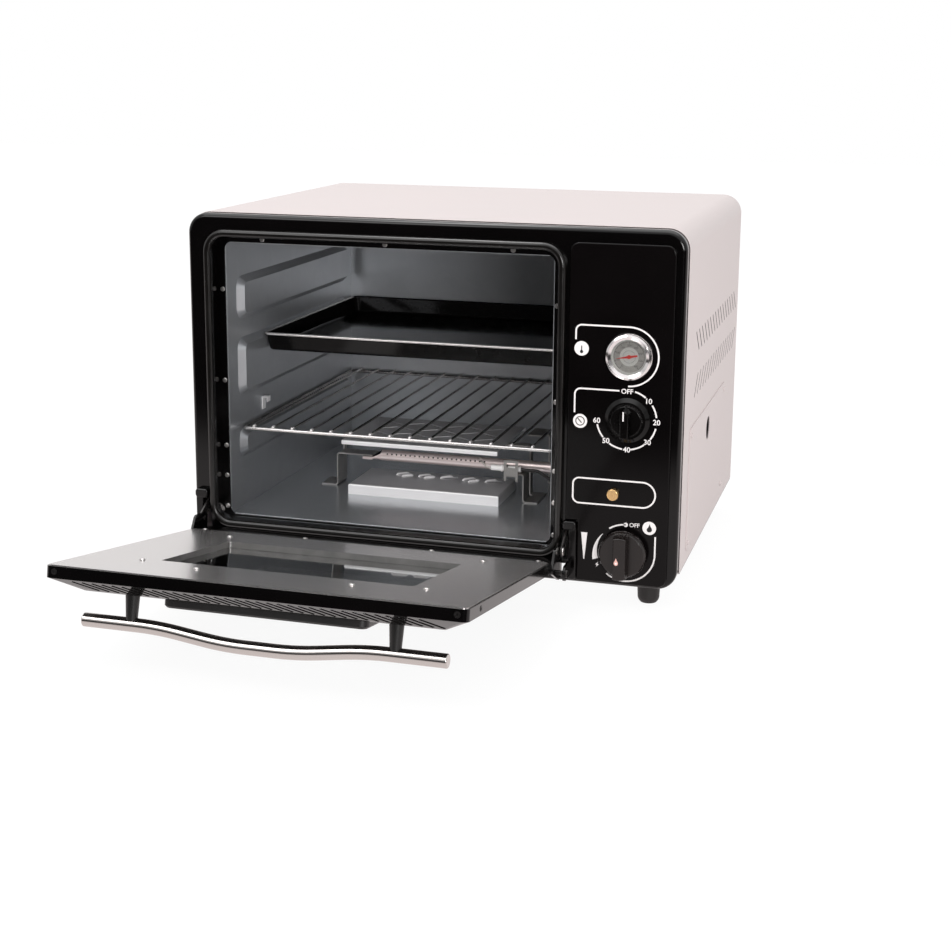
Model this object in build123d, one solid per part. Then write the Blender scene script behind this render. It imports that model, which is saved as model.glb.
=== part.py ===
from build123d import *
import os
from math import cos, radians, sin, tan

# Portable gas oven with a drop-down glass door and a control column at its right.
# Model frame while building: X to the right, Y to the back, Z up from the table.
# X = 0 is the middle of the front frame, and Y = 0 is the frame's front face.
# finish() moves everything so that the origin is under the middle of the whole part.

# ---- Front frame and body ----
OPENING_WIDTH = 379.0        # mouth of the oven
OPENING_HEIGHT = 310.5
LEFT_MARGIN = 28.0           # frame's left edge to the mouth
COLUMN_MARGIN = 128.0        # mouth to the frame's right edge, where the controls stand
TOP_MARGIN = 24.0
LOW_MARGIN = 34.0
FRAME_CORNER = 21.0          # corner radius of the frame's outline
FRAME_DEPTH = 14.0           # its rim runs back this far
FRAME_SHEET = 2.0
FRAME_EDGE = 5.0             # rounding of the front edge
FRAME_LIFT = 22.0            # table to the frame's lower edge
WRAP_SHEET = 0.8             # silver casing
WRAP_PROUD = 1.0             # casing stands this far outside the frame
WRAP_REAR = 417.0            # Y of the casing's rear edge
WRAP_BOTTOM = 37.5           # Z of the casing's lower edge
WRAP_HEM = 12.0              # inward hem along the casing's lower edge
REAR_INSET = 2.0             # rear cover's face to the casing's rear edge
REAR_RIM = 8.0               # depth of the rear cover's rim
REAR_SHEET = 1.0
VENT_SLOTS = 12              # slots in the rear cover behind the oven
COLUMN_SLOTS = 4             # and behind the control column
SLOT_PITCH = 22.0
SLOT_LENGTH = 40.0
SLOT_WIDTH = 5.0
PAN_SLOTS = 9
PAN_SLOT_PITCH = 30.0
PAN_SLOT_LENGTH = 90.0
PAN_SLOT_WIDTH = 6.0
PAN_SLOT_Y = 210.0
FIT_GAP = 0.3                # clearance between parts that slip past each other

# ---- Oven opening, seal and liner ----
OPENING_CORNER = 16.0
RETURN_SHEET = 1.2           # black return that turns inwards in front of the liner's flange
RETURN_GAP = 1.0             # it stops this far outside the liner's walls
RETURN_CORNER = 8.0
SEAL_WIDTH = 8.0
SEAL_HEIGHT = 7.7
LINER_SHEET = 0.7
LINER_INSET = 8.75           # mouth to the liner's side walls
LINER_STEP = 2.0             # mouth's lower edge to the liner's floor
LINER_DROP = 8.0             # mouth's upper edge to the liner's ceiling
LINER_FRONT = 16.0           # Y of the liner's front flange
FLUE_SLOTS = 7               # in the liner's ceiling
FLUE_PITCH = 32.0
FLUE_LENGTH = 24.0
FLUE_WIDTH = 5.0
FLUE_REST = 47.0             # back wall to the flue slots
STANDOFF_X = 60.0            # liner's side to the tabs that hold its back off the rear cover
STANDOFF_HALF = 8.0
SHIELD_GAP = 3.6             # mouth to the heat shield beside the controls
SHIELD_SHEET = 1.0
SHIELD_FOOT = 12.0
WIRE_HOLE = 2.6              # radius of the holes for the ignition lead and the flame sensor
TUBE_GAP = 2.5               # room round the burner tube where it passes the walls
LEAD_DROP = 12.0             # the ignition lead runs this far below the electrode
REAR_SPACE = 20.0            # liner's back wall to the casing's rear edge
LEDGE_DEPTH = 7.0            # pressed ledges stand into the oven by this
LEDGE_START = 40.0           # Y
LEDGE_REST = 19.0            # ledges stop this far before the back wall
LEDGE_DRAFT = 45.0           # slope of the ledges' flanks, degrees
LEDGE_CORNER = 14.0          # corner radius of each ledge at the wall
LEDGES = ((212.0, 260.0), (126.0, 191.5), (56.0, 90.5))   # lower and upper edge above the floor

# ---- Shelf and tray ----
RACK_STOP_Y = 103.0          # front edge of the clips above the rack
RACK_STOP_GAP = 8.5          # ledge's top to the clips
RACK_STOP_LENGTH = 9.0
RACK_STOP_HEIGHT = 15.0
RACK_STOP_REACH = 7.0        # how far the clips stand into the oven
RACK_STOP_LIP = 6.0
RACK_STOP_SHEET = 1.2
RACK_ROD = 2.0               # radius of the rack's frame rods
RACK_WIRE = 1.4              # radius of its cross wires
RACK_WIRES = 15
RACK_FRONT = 44.0
RACK_REST = 5.0              # rack to the back wall
RACK_SIDE_GAP = 3.0          # axis of the rack's side rods to the liner wall
TRAY_FRONT = 97.0
TRAY_REST = 6.0              # tray to the back wall
TRAY_SIDE_GAP = 6.2          # axis of the tray's rolled rim to the liner wall
TRAY_BEAD = 1.9              # radius of the rolled rim
TRAY_DEPTH = 21.0
TRAY_SHEET = 1.0
TRAY_SLOPE = 3.0             # draw-in of the tray's walls from rim to floor
TRAY_CORNER = 9.0
SLIDE_GAP = 0.25             # rack and tray lie this far off their ledges' flanks

# ---- Burner ----
BRACKET_SHEET = 1.5
BURNER_Y = 165.0             # axis of the burner tube
BURNER_Z = 98.0
BURNER_RADIUS = 6.5
BURNER_BORE = 5.5
BURNER_LEFT = -128.0
TONGUE = 12.0                # flattened closed end of the tube
TONGUE_HALF = 8.5
TONGUE_SHEET = 3.0
FLARE = 10.0                 # from the flattened end to the round tube
BURNER_SEAT = 96.5           # Z of the flattened end's upper face
PORT_COUNT = 22
PORT_PITCH = 5.6
PORT_RADIUS = 1.0
PORT_TURN = 65.0             # the ports look this far down from the top to the front, degrees
PORT_FIRST_X = -98.3
COVER_LEFT = -135.5
COVER_WIDTH = 180.0
COVER_FRONT = 128.0
COVER_LENGTH = 79.0
COVER_HEIGHT = 12.0
COVER_SHEET = 1.0
COVER_SLOTS = 5
COVER_SLOT_START = 50.0      # cover's left end to the middle of the first louvre
COVER_SLOT_Y = 188.0
COVER_SLOT_PITCH = 27.1
COVER_SLOT_LENGTH = 21.0
COVER_SLOT_WIDTH = 6.0
COVER_SLOT_TURN = 15.0
SPREADER_LEFT = -148.5
SPREADER_WIDTH = 187.5
SPREADER_FRONT = 141.5
SPREADER_LENGTH = 130.0
SPREADER_Z = 117.0
SPREADER_SHEET = 1.2
SPREADER_LIP = 4.0           # its front and rear edges are folded down by this
SLIT_ROWS = 3
SLIT_ROW_PITCH = 27.0
SLIT_PITCH = 25.0
SLIT_LENGTH = 24.0
SLIT_WIDTH = 3.0
SLIT_TURN = 32.0             # every other slit turns the other way
SLIT_MARGIN = 26.0           # spreader's left, right and rear edges to the slits' middles
ELECTRODE_RADIUS = 3.3
ELECTRODE_SHEET = 1.2
ELECTRODE_GAP = 1.5          # cover's right end to the electrode's frame
LEG_GAP = 21.5               # cover's right end to the right bracket
LEFT_LEG_GAP = 24.5          # left bracket to the cover's left end
BEND_RADIUS = 3.0            # bends of the folded brackets, to the middle of the strip
ELECTRODE_Y = 150.0
ELECTRODE_Z = 97.5
PROBE_Y = 179.0              # flame sensor
PROBE_Z = 95.0

# ---- Door, in its own frame: u runs from the hinge to the free edge, n out of the inner face ----
HINGE_Z = 38.0
DOOR_REST_TILT = 9.8         # the open door lies this many degrees above level
DOOR_SIDE_LAP = 0.5          # the door reaches this far past the seal on each side
DOOR_TOP_LAP = 2.5           # and this far past the mouth's upper edge
DOOR_BOTTOM = -6.0           # u of the hinge edge
DOOR_FACE = 14.0             # n of the inner panel's face
DOOR_EDGE = 11.0             # height of the straight black edge
DOOR_BEVEL = 13.0            # depth of the bevelled outside
DOOR_BEVEL_RUN = 26.0        # how far the bevel draws in
DOOR_WALL = 1.2
DOOR_CORNER = 6.0
PANEL_SHEET = 1.0
PANEL_START = 30.0           # u where the silver inner panel begins
GLASS_SIDE = 74.0            # door's side to the inner window
GLASS_START = 97.0
GLASS_TOP = 81.0             # inner window to the free edge
GLASS_SHEET = 4.0
GLASS_LAP = 8.0              # the inner glass reaches this far behind the panel
GLASS_LIP = 5.0              # depth of the lip that it lies against
CLIP_SHEET = 1.5
VENT_MARGIN = 28.0           # door's side to the row of vents
VENT_PITCH = 9.9
VENT_WIDTH = 4.0
VENT_LENGTH = 25.5
VENT_SLANT = 45.0
WINDOW_SIDE = 100.0          # door's side to the outer window plate
WINDOW_START = 82.0
WINDOW_TOP = 34.0            # outer window plate to the free edge
WINDOW_PROUD = 9.5
POST_SIDE = 72.0             # door's side to each handle post
POST_TOP = 32.0              # handle posts to the free edge
BAR_SIDE = 24.0              # door's side to the end of the bar
BAR_RADIUS = 6.5
BAR_N = -38.6                # axis of the straight ends of the bar
BAR_BOW = 8.8                # the middle stands this much further out
BAR_BOW_START = 100.0
BAR_BOW_END = 34.0
BAR_BOW_RADIUS = 300.0

# ---- Hinges and door stays ----
PIN_RADIUS = 2.5
RUNNING_GAP = 0.05           # radial clearance of every turning fit
EAR_SHEET = 2.5
RIVET_ARM = 22.2             # hinge axis to the stay's rivet
RIVET_RADIUS = 2.5
STAY_SHEET = 2.0
STAY_HALF = 4.5              # half width of the stay strip
STAY_ANGLE = 30.0            # rise of the stay while the door is open
STAY_LENGTH = 60.0           # rivet to guide pin while the door is open
STAY_SHORTEST = 53.9         # least distance from rivet to guide pin on the way
STAY_SIDE_PLAY = 1.2         # room beside the guide pin in the stay's slot
GUIDE_RADIUS = 2.0
SLOT_DROP = 12.0             # the slots beside the door run from below the hinge
SLOT_RISE = 50.0             # to above it
CAP_HEIGHT = 10.0            # the cap over the slot's upper end
CAP_DEPTH = 8.0

# ---- Control column ----
COLUMN_INSET = 54.0          # frame's right edge to the line of the knobs and the thermometer
PAD_LEFT_GAP = 12.0          # mouth to the raised pad
PAD_RIGHT_GAP = 10.0         # pad to the frame's right edge
PAD_LOW_GAP = 4.0
PAD_TOP_GAP = 14.5
PAD_RAISE = 4.0
PAD_CORNER = 9.0
THERMO_Z = 263.5
THERMO_RADIUS = 24.5
DIAL_RADIUS = 17.5
THERMO_LIP = 4.0             # its ring laps over the fascia by this
THERMO_CUP = 16.0            # depth of the cup behind the fascia's face
PASS_GAP = 2.0               # room round the shafts in the fascia
BULB_RADIUS = 2.0            # heat-sensing bulb and its tube
BULB_Y = 250.0
BULB_DROP = 8.5              # ceiling to the bulb
BULB_HOLE = 4.2              # radius of the holes that let it through
TIMER_Z = 199.0
TIMER_RADIUS = 23.0
BUTTON_OFFSET = 12.5         # the button stands left of the knobs' line
BUTTON_Z = 121.0
BUTTON_RADIUS = 6.0
BUTTON_TRAVEL = 4.0
GAS_Z = 60.5
GAS_RADIUS = 24.5
GAS_TRAVEL = 4.0
SPINDLE_RADIUS = 4.0
SHAFT_RADIUS = 3.0
INLET_RADIUS = 6.6           # thread of the gas inlet
INLET_LENGTH = 12.0
INLET_Z = 60.5

# ---- Casing side ----
LOUVRE_PITCH = 20.0
LOUVRE_FIRST_Y = 86.0
LOUVRE_REST = 25.0           # least distance from the last louvre to the rear edge
LOUVRE_LENGTH = 31.0
LOUVRE_WIDTH = 2.4
LOUVRE_UPPER_Z = 268.0
LOUVRE_LOWER_Z = 221.0
ACCESS_Y = (50.0, 315.0)
ACCESS_Z = (50.0, 181.0)
ACCESS_SHEET = 1.0
ACCESS_LAP = 12.0            # the cover laps over the hole's edges by this
ACCESS_CORNER = 6.0
ACCESS_HOLE = 13.0           # radius
ACCESS_HOLE_AT = (182.0, 154.0)

# ---- Feet ----
FOOT_RADIUS = 13.0
FOOT_SOLE = 8.5
FOOT_INSET = 32.5            # frame's side to a foot's axis
FOOT_FRONT_Y = 28.0
FOOT_REAR_INSET = 29.0
PAN_SHEET = 0.8
SCREW_HEAD = 2.6             # radius of the small pan-head screws
SCREW_RISE = 1.5

# ---- Derived places ----
FRAME_WIDTH = LEFT_MARGIN + OPENING_WIDTH + COLUMN_MARGIN
FRAME_HALF = FRAME_WIDTH / 2
OPENING_CENTRE = (LEFT_MARGIN - COLUMN_MARGIN) / 2       # X of the mouth and the door
OPENING_LOW = FRAME_LIFT + LOW_MARGIN
OPENING_HIGH = OPENING_LOW + OPENING_HEIGHT
FRAME_TOP = OPENING_HIGH + TOP_MARGIN
WRAP_HALF = FRAME_HALF + WRAP_PROUD
WRAP_TOP = FRAME_TOP + WRAP_PROUD
PAN_BOTTOM = WRAP_BOTTOM - PAN_SHEET
OPENING_LEFT = OPENING_CENTRE - OPENING_WIDTH / 2
OPENING_RIGHT = OPENING_CENTRE + OPENING_WIDTH / 2
LINER_LEFT = OPENING_LEFT + LINER_INSET
LINER_RIGHT = OPENING_RIGHT - LINER_INSET
LINER_FLOOR = OPENING_LOW + LINER_STEP
COVER_RIGHT = COVER_LEFT + COVER_WIDTH
ELECTRODE_X = COVER_RIGHT + ELECTRODE_GAP
POST_LEFT = COVER_RIGHT + LEG_GAP
SPREADER_RIGHT = SPREADER_LEFT + SPREADER_WIDTH
LINER_CEILING = OPENING_HIGH - LINER_DROP
LINER_BACK = WRAP_REAR - REAR_SPACE
LEDGE_END = LINER_BACK - LEDGE_REST
RACK_LEDGE_TOP = LINER_FLOOR + LEDGES[2][1]
TRAY_LEDGE_TOP = LINER_FLOOR + LEDGES[1][1]
RACK_STOP_Z = RACK_LEDGE_TOP + RACK_STOP_GAP
RACK_REAR = LINER_BACK - RACK_REST
TRAY_REAR = LINER_BACK - TRAY_REST
PAD_LEFT = OPENING_RIGHT + PAD_LEFT_GAP
PAD_RIGHT = FRAME_HALF - PAD_RIGHT_GAP
PAD_LOW = FRAME_LIFT + PAD_LOW_GAP
PAD_HIGH = FRAME_TOP - PAD_TOP_GAP
COLUMN_X = FRAME_HALF - COLUMN_INSET
BUTTON_X = COLUMN_X - BUTTON_OFFSET
BULB_Z = LINER_CEILING - BULB_DROP
FOOT_X = FRAME_HALF - FOOT_INSET
FOOT_REAR_Y = WRAP_REAR - FOOT_REAR_INSET
LOUVRE_COUNT = 1 + int((WRAP_REAR - LOUVRE_REST - LOUVRE_FIRST_Y) / LOUVRE_PITCH)
HINGE_Y = -(SEAL_HEIGHT + FIT_GAP + DOOR_FACE)
DOOR_HALF = OPENING_WIDTH / 2 + SEAL_WIDTH + DOOR_SIDE_LAP
DOOR_TOP = OPENING_HIGH + DOOR_TOP_LAP - HINGE_Z
GLASS_HALF = DOOR_HALF - GLASS_SIDE
GLASS_END = DOOR_TOP - GLASS_TOP
WINDOW_HALF = DOOR_HALF - WINDOW_SIDE
WINDOW_END = DOOR_TOP - WINDOW_TOP
VENT_COUNT = int(2 * (DOOR_HALF - VENT_MARGIN) / VENT_PITCH)
POST_X = DOOR_HALF - POST_SIDE
POST_U = DOOR_TOP - POST_TOP
BAR_HALF = DOOR_HALF - BAR_SIDE
EAR_IN = DOOR_HALF
EAR_OUT = EAR_IN + EAR_SHEET
STAY_IN = EAR_OUT + 0.4
STAY_OUT = STAY_IN + STAY_SHEET
RIVET_END = STAY_OUT + 0.2
RIVET_HEAD = RIVET_END + 1.3
BRACKET_IN = RIVET_HEAD + 0.8
BRACKET_OUT = BRACKET_IN + 2.5
SLOT_IN = OPENING_WIDTH / 2 + SEAL_WIDTH + 0.1
SLOT_OUT = BRACKET_IN - 0.2
SLOT_LOW = HINGE_Z - SLOT_DROP
SLOT_HIGH = HINGE_Z + SLOT_RISE
POCKET_OUT = BRACKET_OUT + 6.5       # the column's pad is notched to here round the right hinge
DOOR_MIDDLE_U = (DOOR_TOP + DOOR_BOTTOM) / 2
DOOR_LOW_N = DOOR_FACE - PANEL_SHEET - DOOR_EDGE
DOOR_OUT_N = DOOR_LOW_N - DOOR_BEVEL
RAIL_N = DOOR_FACE - PANEL_SHEET
LINE_BACK = FRAME_SHEET
TILT = radians(DOOR_REST_TILT)
RIVET_Y = HINGE_Y + RIVET_ARM * sin(TILT)
RIVET_Z = HINGE_Z + RIVET_ARM * cos(TILT)
GUIDE_Y = RIVET_Y + STAY_LENGTH * cos(radians(STAY_ANGLE))
GUIDE_Z = RIVET_Z + STAY_LENGTH * sin(radians(STAY_ANGLE))
DOOR_PLACE = Pos(OPENING_CENTRE, HINGE_Y, HINGE_Z) * Rot(-DOOR_REST_TILT, 0, 0)
DOOR_REACH = HINGE_Y - DOOR_TOP * cos(TILT) + DOOR_LOW_N * sin(TILT)
INLET_TIP = WRAP_REAR + INLET_LENGTH + 6.0
ORIGIN_SHIFT = Pos(-ACCESS_SHEET / 2, -(DOOR_REACH + INLET_TIP) / 2, 0)


# ---- Small builders ----
def box(x0, x1, y0, y1, z0, z1):
    return Pos((x0 + x1) / 2, (y0 + y1) / 2, (z0 + z1) / 2) * Box(x1 - x0, y1 - y0, z1 - z0)


def rod_x(radius, x0, x1, y, z):
    return Pos((x0 + x1) / 2, y, z) * Rot(0, 90, 0) * Cylinder(radius, x1 - x0)


def rod_y(radius, x, y0, y1, z):
    return Pos(x, (y0 + y1) / 2, z) * Rot(90, 0, 0) * Cylinder(radius, y1 - y0)


def rod_z(radius, x, y, z0, z1):
    return Pos(x, y, (z0 + z1) / 2) * Cylinder(radius, z1 - z0)


def front_view(sketch, y0, y1):
    """Extrude a sketch drawn in X and Z between two depths."""
    return extrude(Plane(origin=(0, y1, 0), x_dir=(1, 0, 0), z_dir=(0, -1, 0)) * sketch, y1 - y0)


def side_view(sketch, x0, x1):
    """Extrude a sketch drawn in Y and Z between two X positions."""
    return extrude(Plane(origin=(x0, 0, 0), x_dir=(0, 1, 0), z_dir=(1, 0, 0)) * sketch, x1 - x0)


def rounded(x0, x1, z0, z1, radius):
    return Pos((x0 + x1) / 2, (z0 + z1) / 2) * RectangleRounded(x1 - x0, z1 - z0, radius)


def turned(points, x, y, z):
    """Revolve an outline of (radius, depth) points about an axis along Y; depth grows to the front."""
    outline = make_face(Polyline(*points, close=True))
    return Pos(x, y, z) * Rot(90, 0, 0) * revolve(Plane.XZ * outline, Axis.Z)


def tube_along(points, radii, outer, bore=0.0):
    """A pipe of straight runs and tangent arcs."""
    path = FilletPolyline(*points, radius=radii)
    start = Plane(origin=path @ 0, z_dir=path % 0)
    solid = sweep(start * Circle(outer), path)
    if bore:
        solid -= sweep(start * Circle(bore), path)
    return solid


def both_sides(make):
    """The right-hand piece and its mirror image about the middle of the oven opening."""
    right = Pos(OPENING_CENTRE, 0, 0) * make
    left = Pos(OPENING_CENTRE, 0, 0) * mirror(make, Plane.YZ)
    return left, right


def finish(node, solids, place=None):
    os.makedirs("parts", exist_ok=True)
    parts = [s for item in solids for s in item.solids()] if isinstance(solids, (list, tuple)) \
        else list(solids.solids())
    if place is not None:
        parts = [place * s for s in parts]
    shape = ORIGIN_SHIFT * Compound(children=[Solid(p.wrapped) for p in parts])
    export_step(shape, f"parts/{node}.step")


def pan_screw():
    """A small pan-head screw that stands on Z = 0."""
    head = Cylinder(SCREW_HEAD, SCREW_RISE, align=(Align.CENTER, Align.CENTER, Align.MIN))
    head = chamfer(head.edges().sort_by(Axis.Z)[-1], 0.6)
    return head


# ---- Casing ----
def outer_wrap():
    def arch(inset):
        shape = rounded(-WRAP_HALF + inset, WRAP_HALF - inset, 0, WRAP_TOP - inset, FRAME_CORNER + 1 - inset)
        keep = Pos(0, WRAP_BOTTOM + FRAME_TOP) * Rectangle(2 * FRAME_WIDTH, 2 * FRAME_TOP)
        return shape & keep
    shell = front_view(arch(0), FRAME_DEPTH, WRAP_REAR) - front_view(arch(WRAP_SHEET), 0, WRAP_REAR + 10)
    inner = WRAP_HALF - WRAP_SHEET
    for x0, x1 in ((-inner - 0.5, -inner + WRAP_HEM), (inner - WRAP_HEM, inner + 0.5)):
        shell += box(x0, x1, FRAME_DEPTH, WRAP_REAR, WRAP_BOTTOM, WRAP_BOTTOM + WRAP_SHEET)
    for row, (z, turn) in enumerate(((LOUVRE_UPPER_Z, 45), (LOUVRE_LOWER_Z, -45))):
        for i in range(LOUVRE_COUNT):
            y = LOUVRE_FIRST_Y + i * LOUVRE_PITCH
            slot = Pos(WRAP_HALF, y, z) * Rot(turn, 0, 0) * Box(6, LOUVRE_WIDTH, LOUVRE_LENGTH)
            shell -= slot
    lap = ACCESS_LAP
    shell -= box(inner - 3, WRAP_HALF + 3, ACCESS_Y[0] + lap, ACCESS_Y[1] - lap,
                 ACCESS_Z[0] + lap, ACCESS_Z[1] - lap)
    return shell


def side_access_cover():
    y0, y1 = ACCESS_Y
    z0, z1 = ACCESS_Z
    plate = side_view(rounded(y0, y1, z0, z1, ACCESS_CORNER), WRAP_HALF, WRAP_HALF + ACCESS_SHEET)
    return plate - rod_x(ACCESS_HOLE, WRAP_HALF - 2, WRAP_HALF + 4, *ACCESS_HOLE_AT)


def frame_slots():
    right = box(SLOT_IN, SLOT_OUT, -1, FRAME_SHEET + 1, SLOT_LOW, SLOT_HIGH)
    return both_sides(right)


def front_bezel():
    outline = rounded(-FRAME_HALF, FRAME_HALF, FRAME_LIFT, FRAME_TOP, FRAME_CORNER)
    inner = rounded(-FRAME_HALF + FRAME_SHEET, FRAME_HALF - FRAME_SHEET, FRAME_LIFT + FRAME_SHEET,
                    FRAME_TOP - FRAME_SHEET, FRAME_CORNER - FRAME_SHEET)
    body = front_view(outline, 0, FRAME_DEPTH)
    body = fillet(body.faces().sort_by(Axis.Y)[0].edges(), FRAME_EDGE)
    body -= front_view(inner, FRAME_SHEET, FRAME_DEPTH + 1)
    mouth = rounded(OPENING_LEFT, OPENING_RIGHT, OPENING_LOW, OPENING_HIGH, OPENING_CORNER)
    lip = rounded(OPENING_LEFT - FRAME_SHEET, OPENING_RIGHT + FRAME_SHEET, OPENING_LOW - FRAME_SHEET,
                  OPENING_HIGH + FRAME_SHEET, OPENING_CORNER + FRAME_SHEET)
    body += front_view(lip, 0.5, LINER_FRONT)
    body -= front_view(mouth, -1, LINER_FRONT - RETURN_SHEET)
    clear = rounded(LINER_LEFT - RETURN_GAP, LINER_RIGHT + RETURN_GAP, LINER_FLOOR - RETURN_GAP,
                    LINER_CEILING + RETURN_GAP, RETURN_CORNER)
    body -= front_view(clear, -1, LINER_FRONT + 1)
    for slot in frame_slots():
        body -= slot
    body -= rod_y(THERMO_RADIUS - THERMO_LIP + 0.2, COLUMN_X, -1, 10, THERMO_Z)
    body -= rod_y(SHAFT_RADIUS + PASS_GAP, COLUMN_X, -1, 10, TIMER_Z)
    body -= rod_y(BUTTON_RADIUS + 0.5, BUTTON_X, -1, 10, BUTTON_Z)
    body -= rod_y(SPINDLE_RADIUS + PASS_GAP, COLUMN_X, -1, 10, GAS_Z)
    return body


def control_fascia():
    pad = rounded(PAD_LEFT, PAD_RIGHT, PAD_LOW, PAD_HIGH, PAD_CORNER)
    notch = Pos((PAD_LEFT + OPENING_CENTRE + POCKET_OUT) / 2 - 10, (SLOT_HIGH + 2) / 2) \
        * Rectangle(POCKET_OUT + OPENING_CENTRE - PAD_LEFT + 20, SLOT_HIGH + 2)
    body = front_view(pad - notch, -PAD_RAISE, 0)
    body = fillet(body.faces().sort_by(Axis.Y)[0].edges(), 1.5)
    body -= rod_y(THERMO_RADIUS - THERMO_LIP + 0.2, COLUMN_X, -10, 1, THERMO_Z)
    body -= rod_y(SHAFT_RADIUS + PASS_GAP, COLUMN_X, -10, 1, TIMER_Z)
    body -= rod_y(BUTTON_RADIUS + 0.3, BUTTON_X, -10, 1, BUTTON_Z)
    body -= rod_y(SPINDLE_RADIUS + PASS_GAP, COLUMN_X, -10, 1, GAS_Z)
    return body


def door_seal():
    x0, x1 = OPENING_LEFT - SEAL_WIDTH, OPENING_RIGHT + SEAL_WIDTH
    z0, z1 = OPENING_LOW - SEAL_WIDTH, OPENING_HIGH + SEAL_WIDTH
    ring = rounded(x0, x1, z0, z1, OPENING_CORNER + SEAL_WIDTH) \
        - rounded(OPENING_LEFT, OPENING_RIGHT, OPENING_LOW, OPENING_HIGH, OPENING_CORNER)
    body = front_view(ring, -SEAL_HEIGHT, 0)
    return fillet(body.faces().sort_by(Axis.Y)[0].edges(), SEAL_WIDTH / 2 - 0.4)


def rear_cover():
    inner = WRAP_HALF - WRAP_SHEET - 0.1
    y1 = WRAP_REAR - REAR_INSET
    low = WRAP_BOTTOM + 2
    top = WRAP_TOP - WRAP_SHEET - 0.1
    sheet = REAR_SHEET
    plate = front_view(rounded(-inner, inner, low, top, FRAME_CORNER), y1 - REAR_RIM, y1)
    inside = rounded(-inner + sheet, inner - sheet, low + sheet, top - sheet, FRAME_CORNER - sheet)
    plate -= front_view(inside, y1 - REAR_RIM - 1, y1 - sheet)
    slot = front_view(SlotOverall(SLOT_LENGTH, SLOT_WIDTH, rotation=90), y1 - 2 * sheet, y1 + sheet)
    for i in range(VENT_SLOTS):
        plate -= Pos(OPENING_CENTRE + (i - (VENT_SLOTS - 1) / 2) * SLOT_PITCH, 0, LINER_CEILING - 28.5) * slot
    for i in range(COLUMN_SLOTS):
        plate -= Pos(COLUMN_X - 10.5 + (i - (COLUMN_SLOTS - 1) / 2) * SLOT_PITCH, 0, 140) * slot
    return plate - rod_y(INLET_RADIUS + 1.5, COLUMN_X, y1 - 2 * sheet, y1 + sheet, INLET_Z)


def base_pan():
    half = WRAP_HALF - WRAP_SHEET - 0.1
    plate = box(-half - 1, half + 1, FRAME_DEPTH, WRAP_REAR - REAR_INSET, PAN_BOTTOM, WRAP_BOTTOM)
    slot = extrude(SlotOverall(PAN_SLOT_LENGTH, PAN_SLOT_WIDTH, rotation=90), 3 * PAN_SHEET, both=True)
    for i in range(PAN_SLOTS):
        x = OPENING_CENTRE + 20 + (i - (PAN_SLOTS - 1) / 2) * PAN_SLOT_PITCH
        plate -= Pos(x, PAN_SLOT_Y, PAN_BOTTOM) * slot
    return plate


def feet():
    """Tapered feet with a rounded sole, screwed up under the pan."""
    outline = make_face(
        Polyline((0, 0), (FOOT_SOLE, 0))
        + RadiusArc((FOOT_SOLE, 0), (FOOT_RADIUS - 1.6, 7), -9.0)
        + Polyline((FOOT_RADIUS - 1.6, 7), (FOOT_RADIUS, PAN_BOTTOM), (0, PAN_BOTTOM), (0, 0)))
    foot = revolve(Plane.XZ * outline, Axis.Z)
    return [Pos(x, y, 0) * foot for x in (-FOOT_X, FOOT_X) for y in (FOOT_FRONT_Y, FOOT_REAR_Y)]


# ---- Oven liner ----
def ledge(z0, z1, depth, grow):
    """A pressed ledge with rounded ends and sloping flanks, drawn in Y and Z, rising along +X."""
    length = LEDGE_END - LEDGE_START + 2 * grow
    height = z1 - z0 + 2 * grow
    sketch = Pos((LEDGE_START + LEDGE_END) / 2, (z0 + z1) / 2) * RectangleRounded(length, height, LEDGE_CORNER)
    return extrude(Plane(origin=(0, 0, 0), x_dir=(0, 1, 0), z_dir=(1, 0, 0)) * sketch, depth, taper=LEDGE_DRAFT)


def liner_side():
    """The left wall: a sheet with pressed ledges and a front flange turned away from the oven."""
    y0 = LINER_FRONT
    z0 = LINER_FLOOR - LINER_SHEET
    z1 = LINER_CEILING + LINER_SHEET
    wall = box(-LINER_SHEET, 0, y0, LINER_BACK, z0, z1)
    for low, high in LEDGES:
        wall += Pos(-0.01, 0, LINER_FLOOR) * ledge(low, high, LEDGE_DEPTH, 0)
    for low, high in LEDGES:
        wall -= Pos(-LINER_SHEET - 0.2, 0, LINER_FLOOR) * ledge(low, high, LEDGE_DEPTH, -0.3)
    flange = LINER_INSET + FRAME_SHEET
    wall += box(-flange, -LINER_SHEET + 0.2, y0, y0 + LINER_SHEET, z0, z1)
    return wall


def liner_left():
    return Pos(LINER_LEFT, 0, 0) * liner_side()


def wall_holes(x0, x1):
    """Holes for the burner tube, the ignition lead, the flame sensor and the thermometer's bulb."""
    holes = rod_x(BURNER_RADIUS + TUBE_GAP, x0, x1, BURNER_Y, BURNER_Z)
    holes += rod_x(WIRE_HOLE, x0, x1, ELECTRODE_Y, ELECTRODE_Z - LEAD_DROP)
    holes += rod_x(WIRE_HOLE, x0, x1, PROBE_Y, PROBE_Z)
    return holes + rod_x(BULB_HOLE, x0, x1, BULB_Y, BULB_Z)


def liner_right():
    wall = Pos(LINER_RIGHT, 0, 0) * mirror(liner_side(), Plane.YZ)
    return wall - wall_holes(LINER_RIGHT - LEDGE_DEPTH - 1, LINER_RIGHT + 3)


def liner_cap(z0, z1, flange_to):
    """Floor or ceiling sheet with its front flange."""
    sheet = box(LINER_LEFT, LINER_RIGHT, LINER_FRONT, LINER_BACK, z0, z1)
    low, high = min(z0, flange_to), max(z1, flange_to)
    sheet += box(LINER_LEFT, LINER_RIGHT, LINER_FRONT, LINER_FRONT + LINER_SHEET, low, high)
    return sheet


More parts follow.
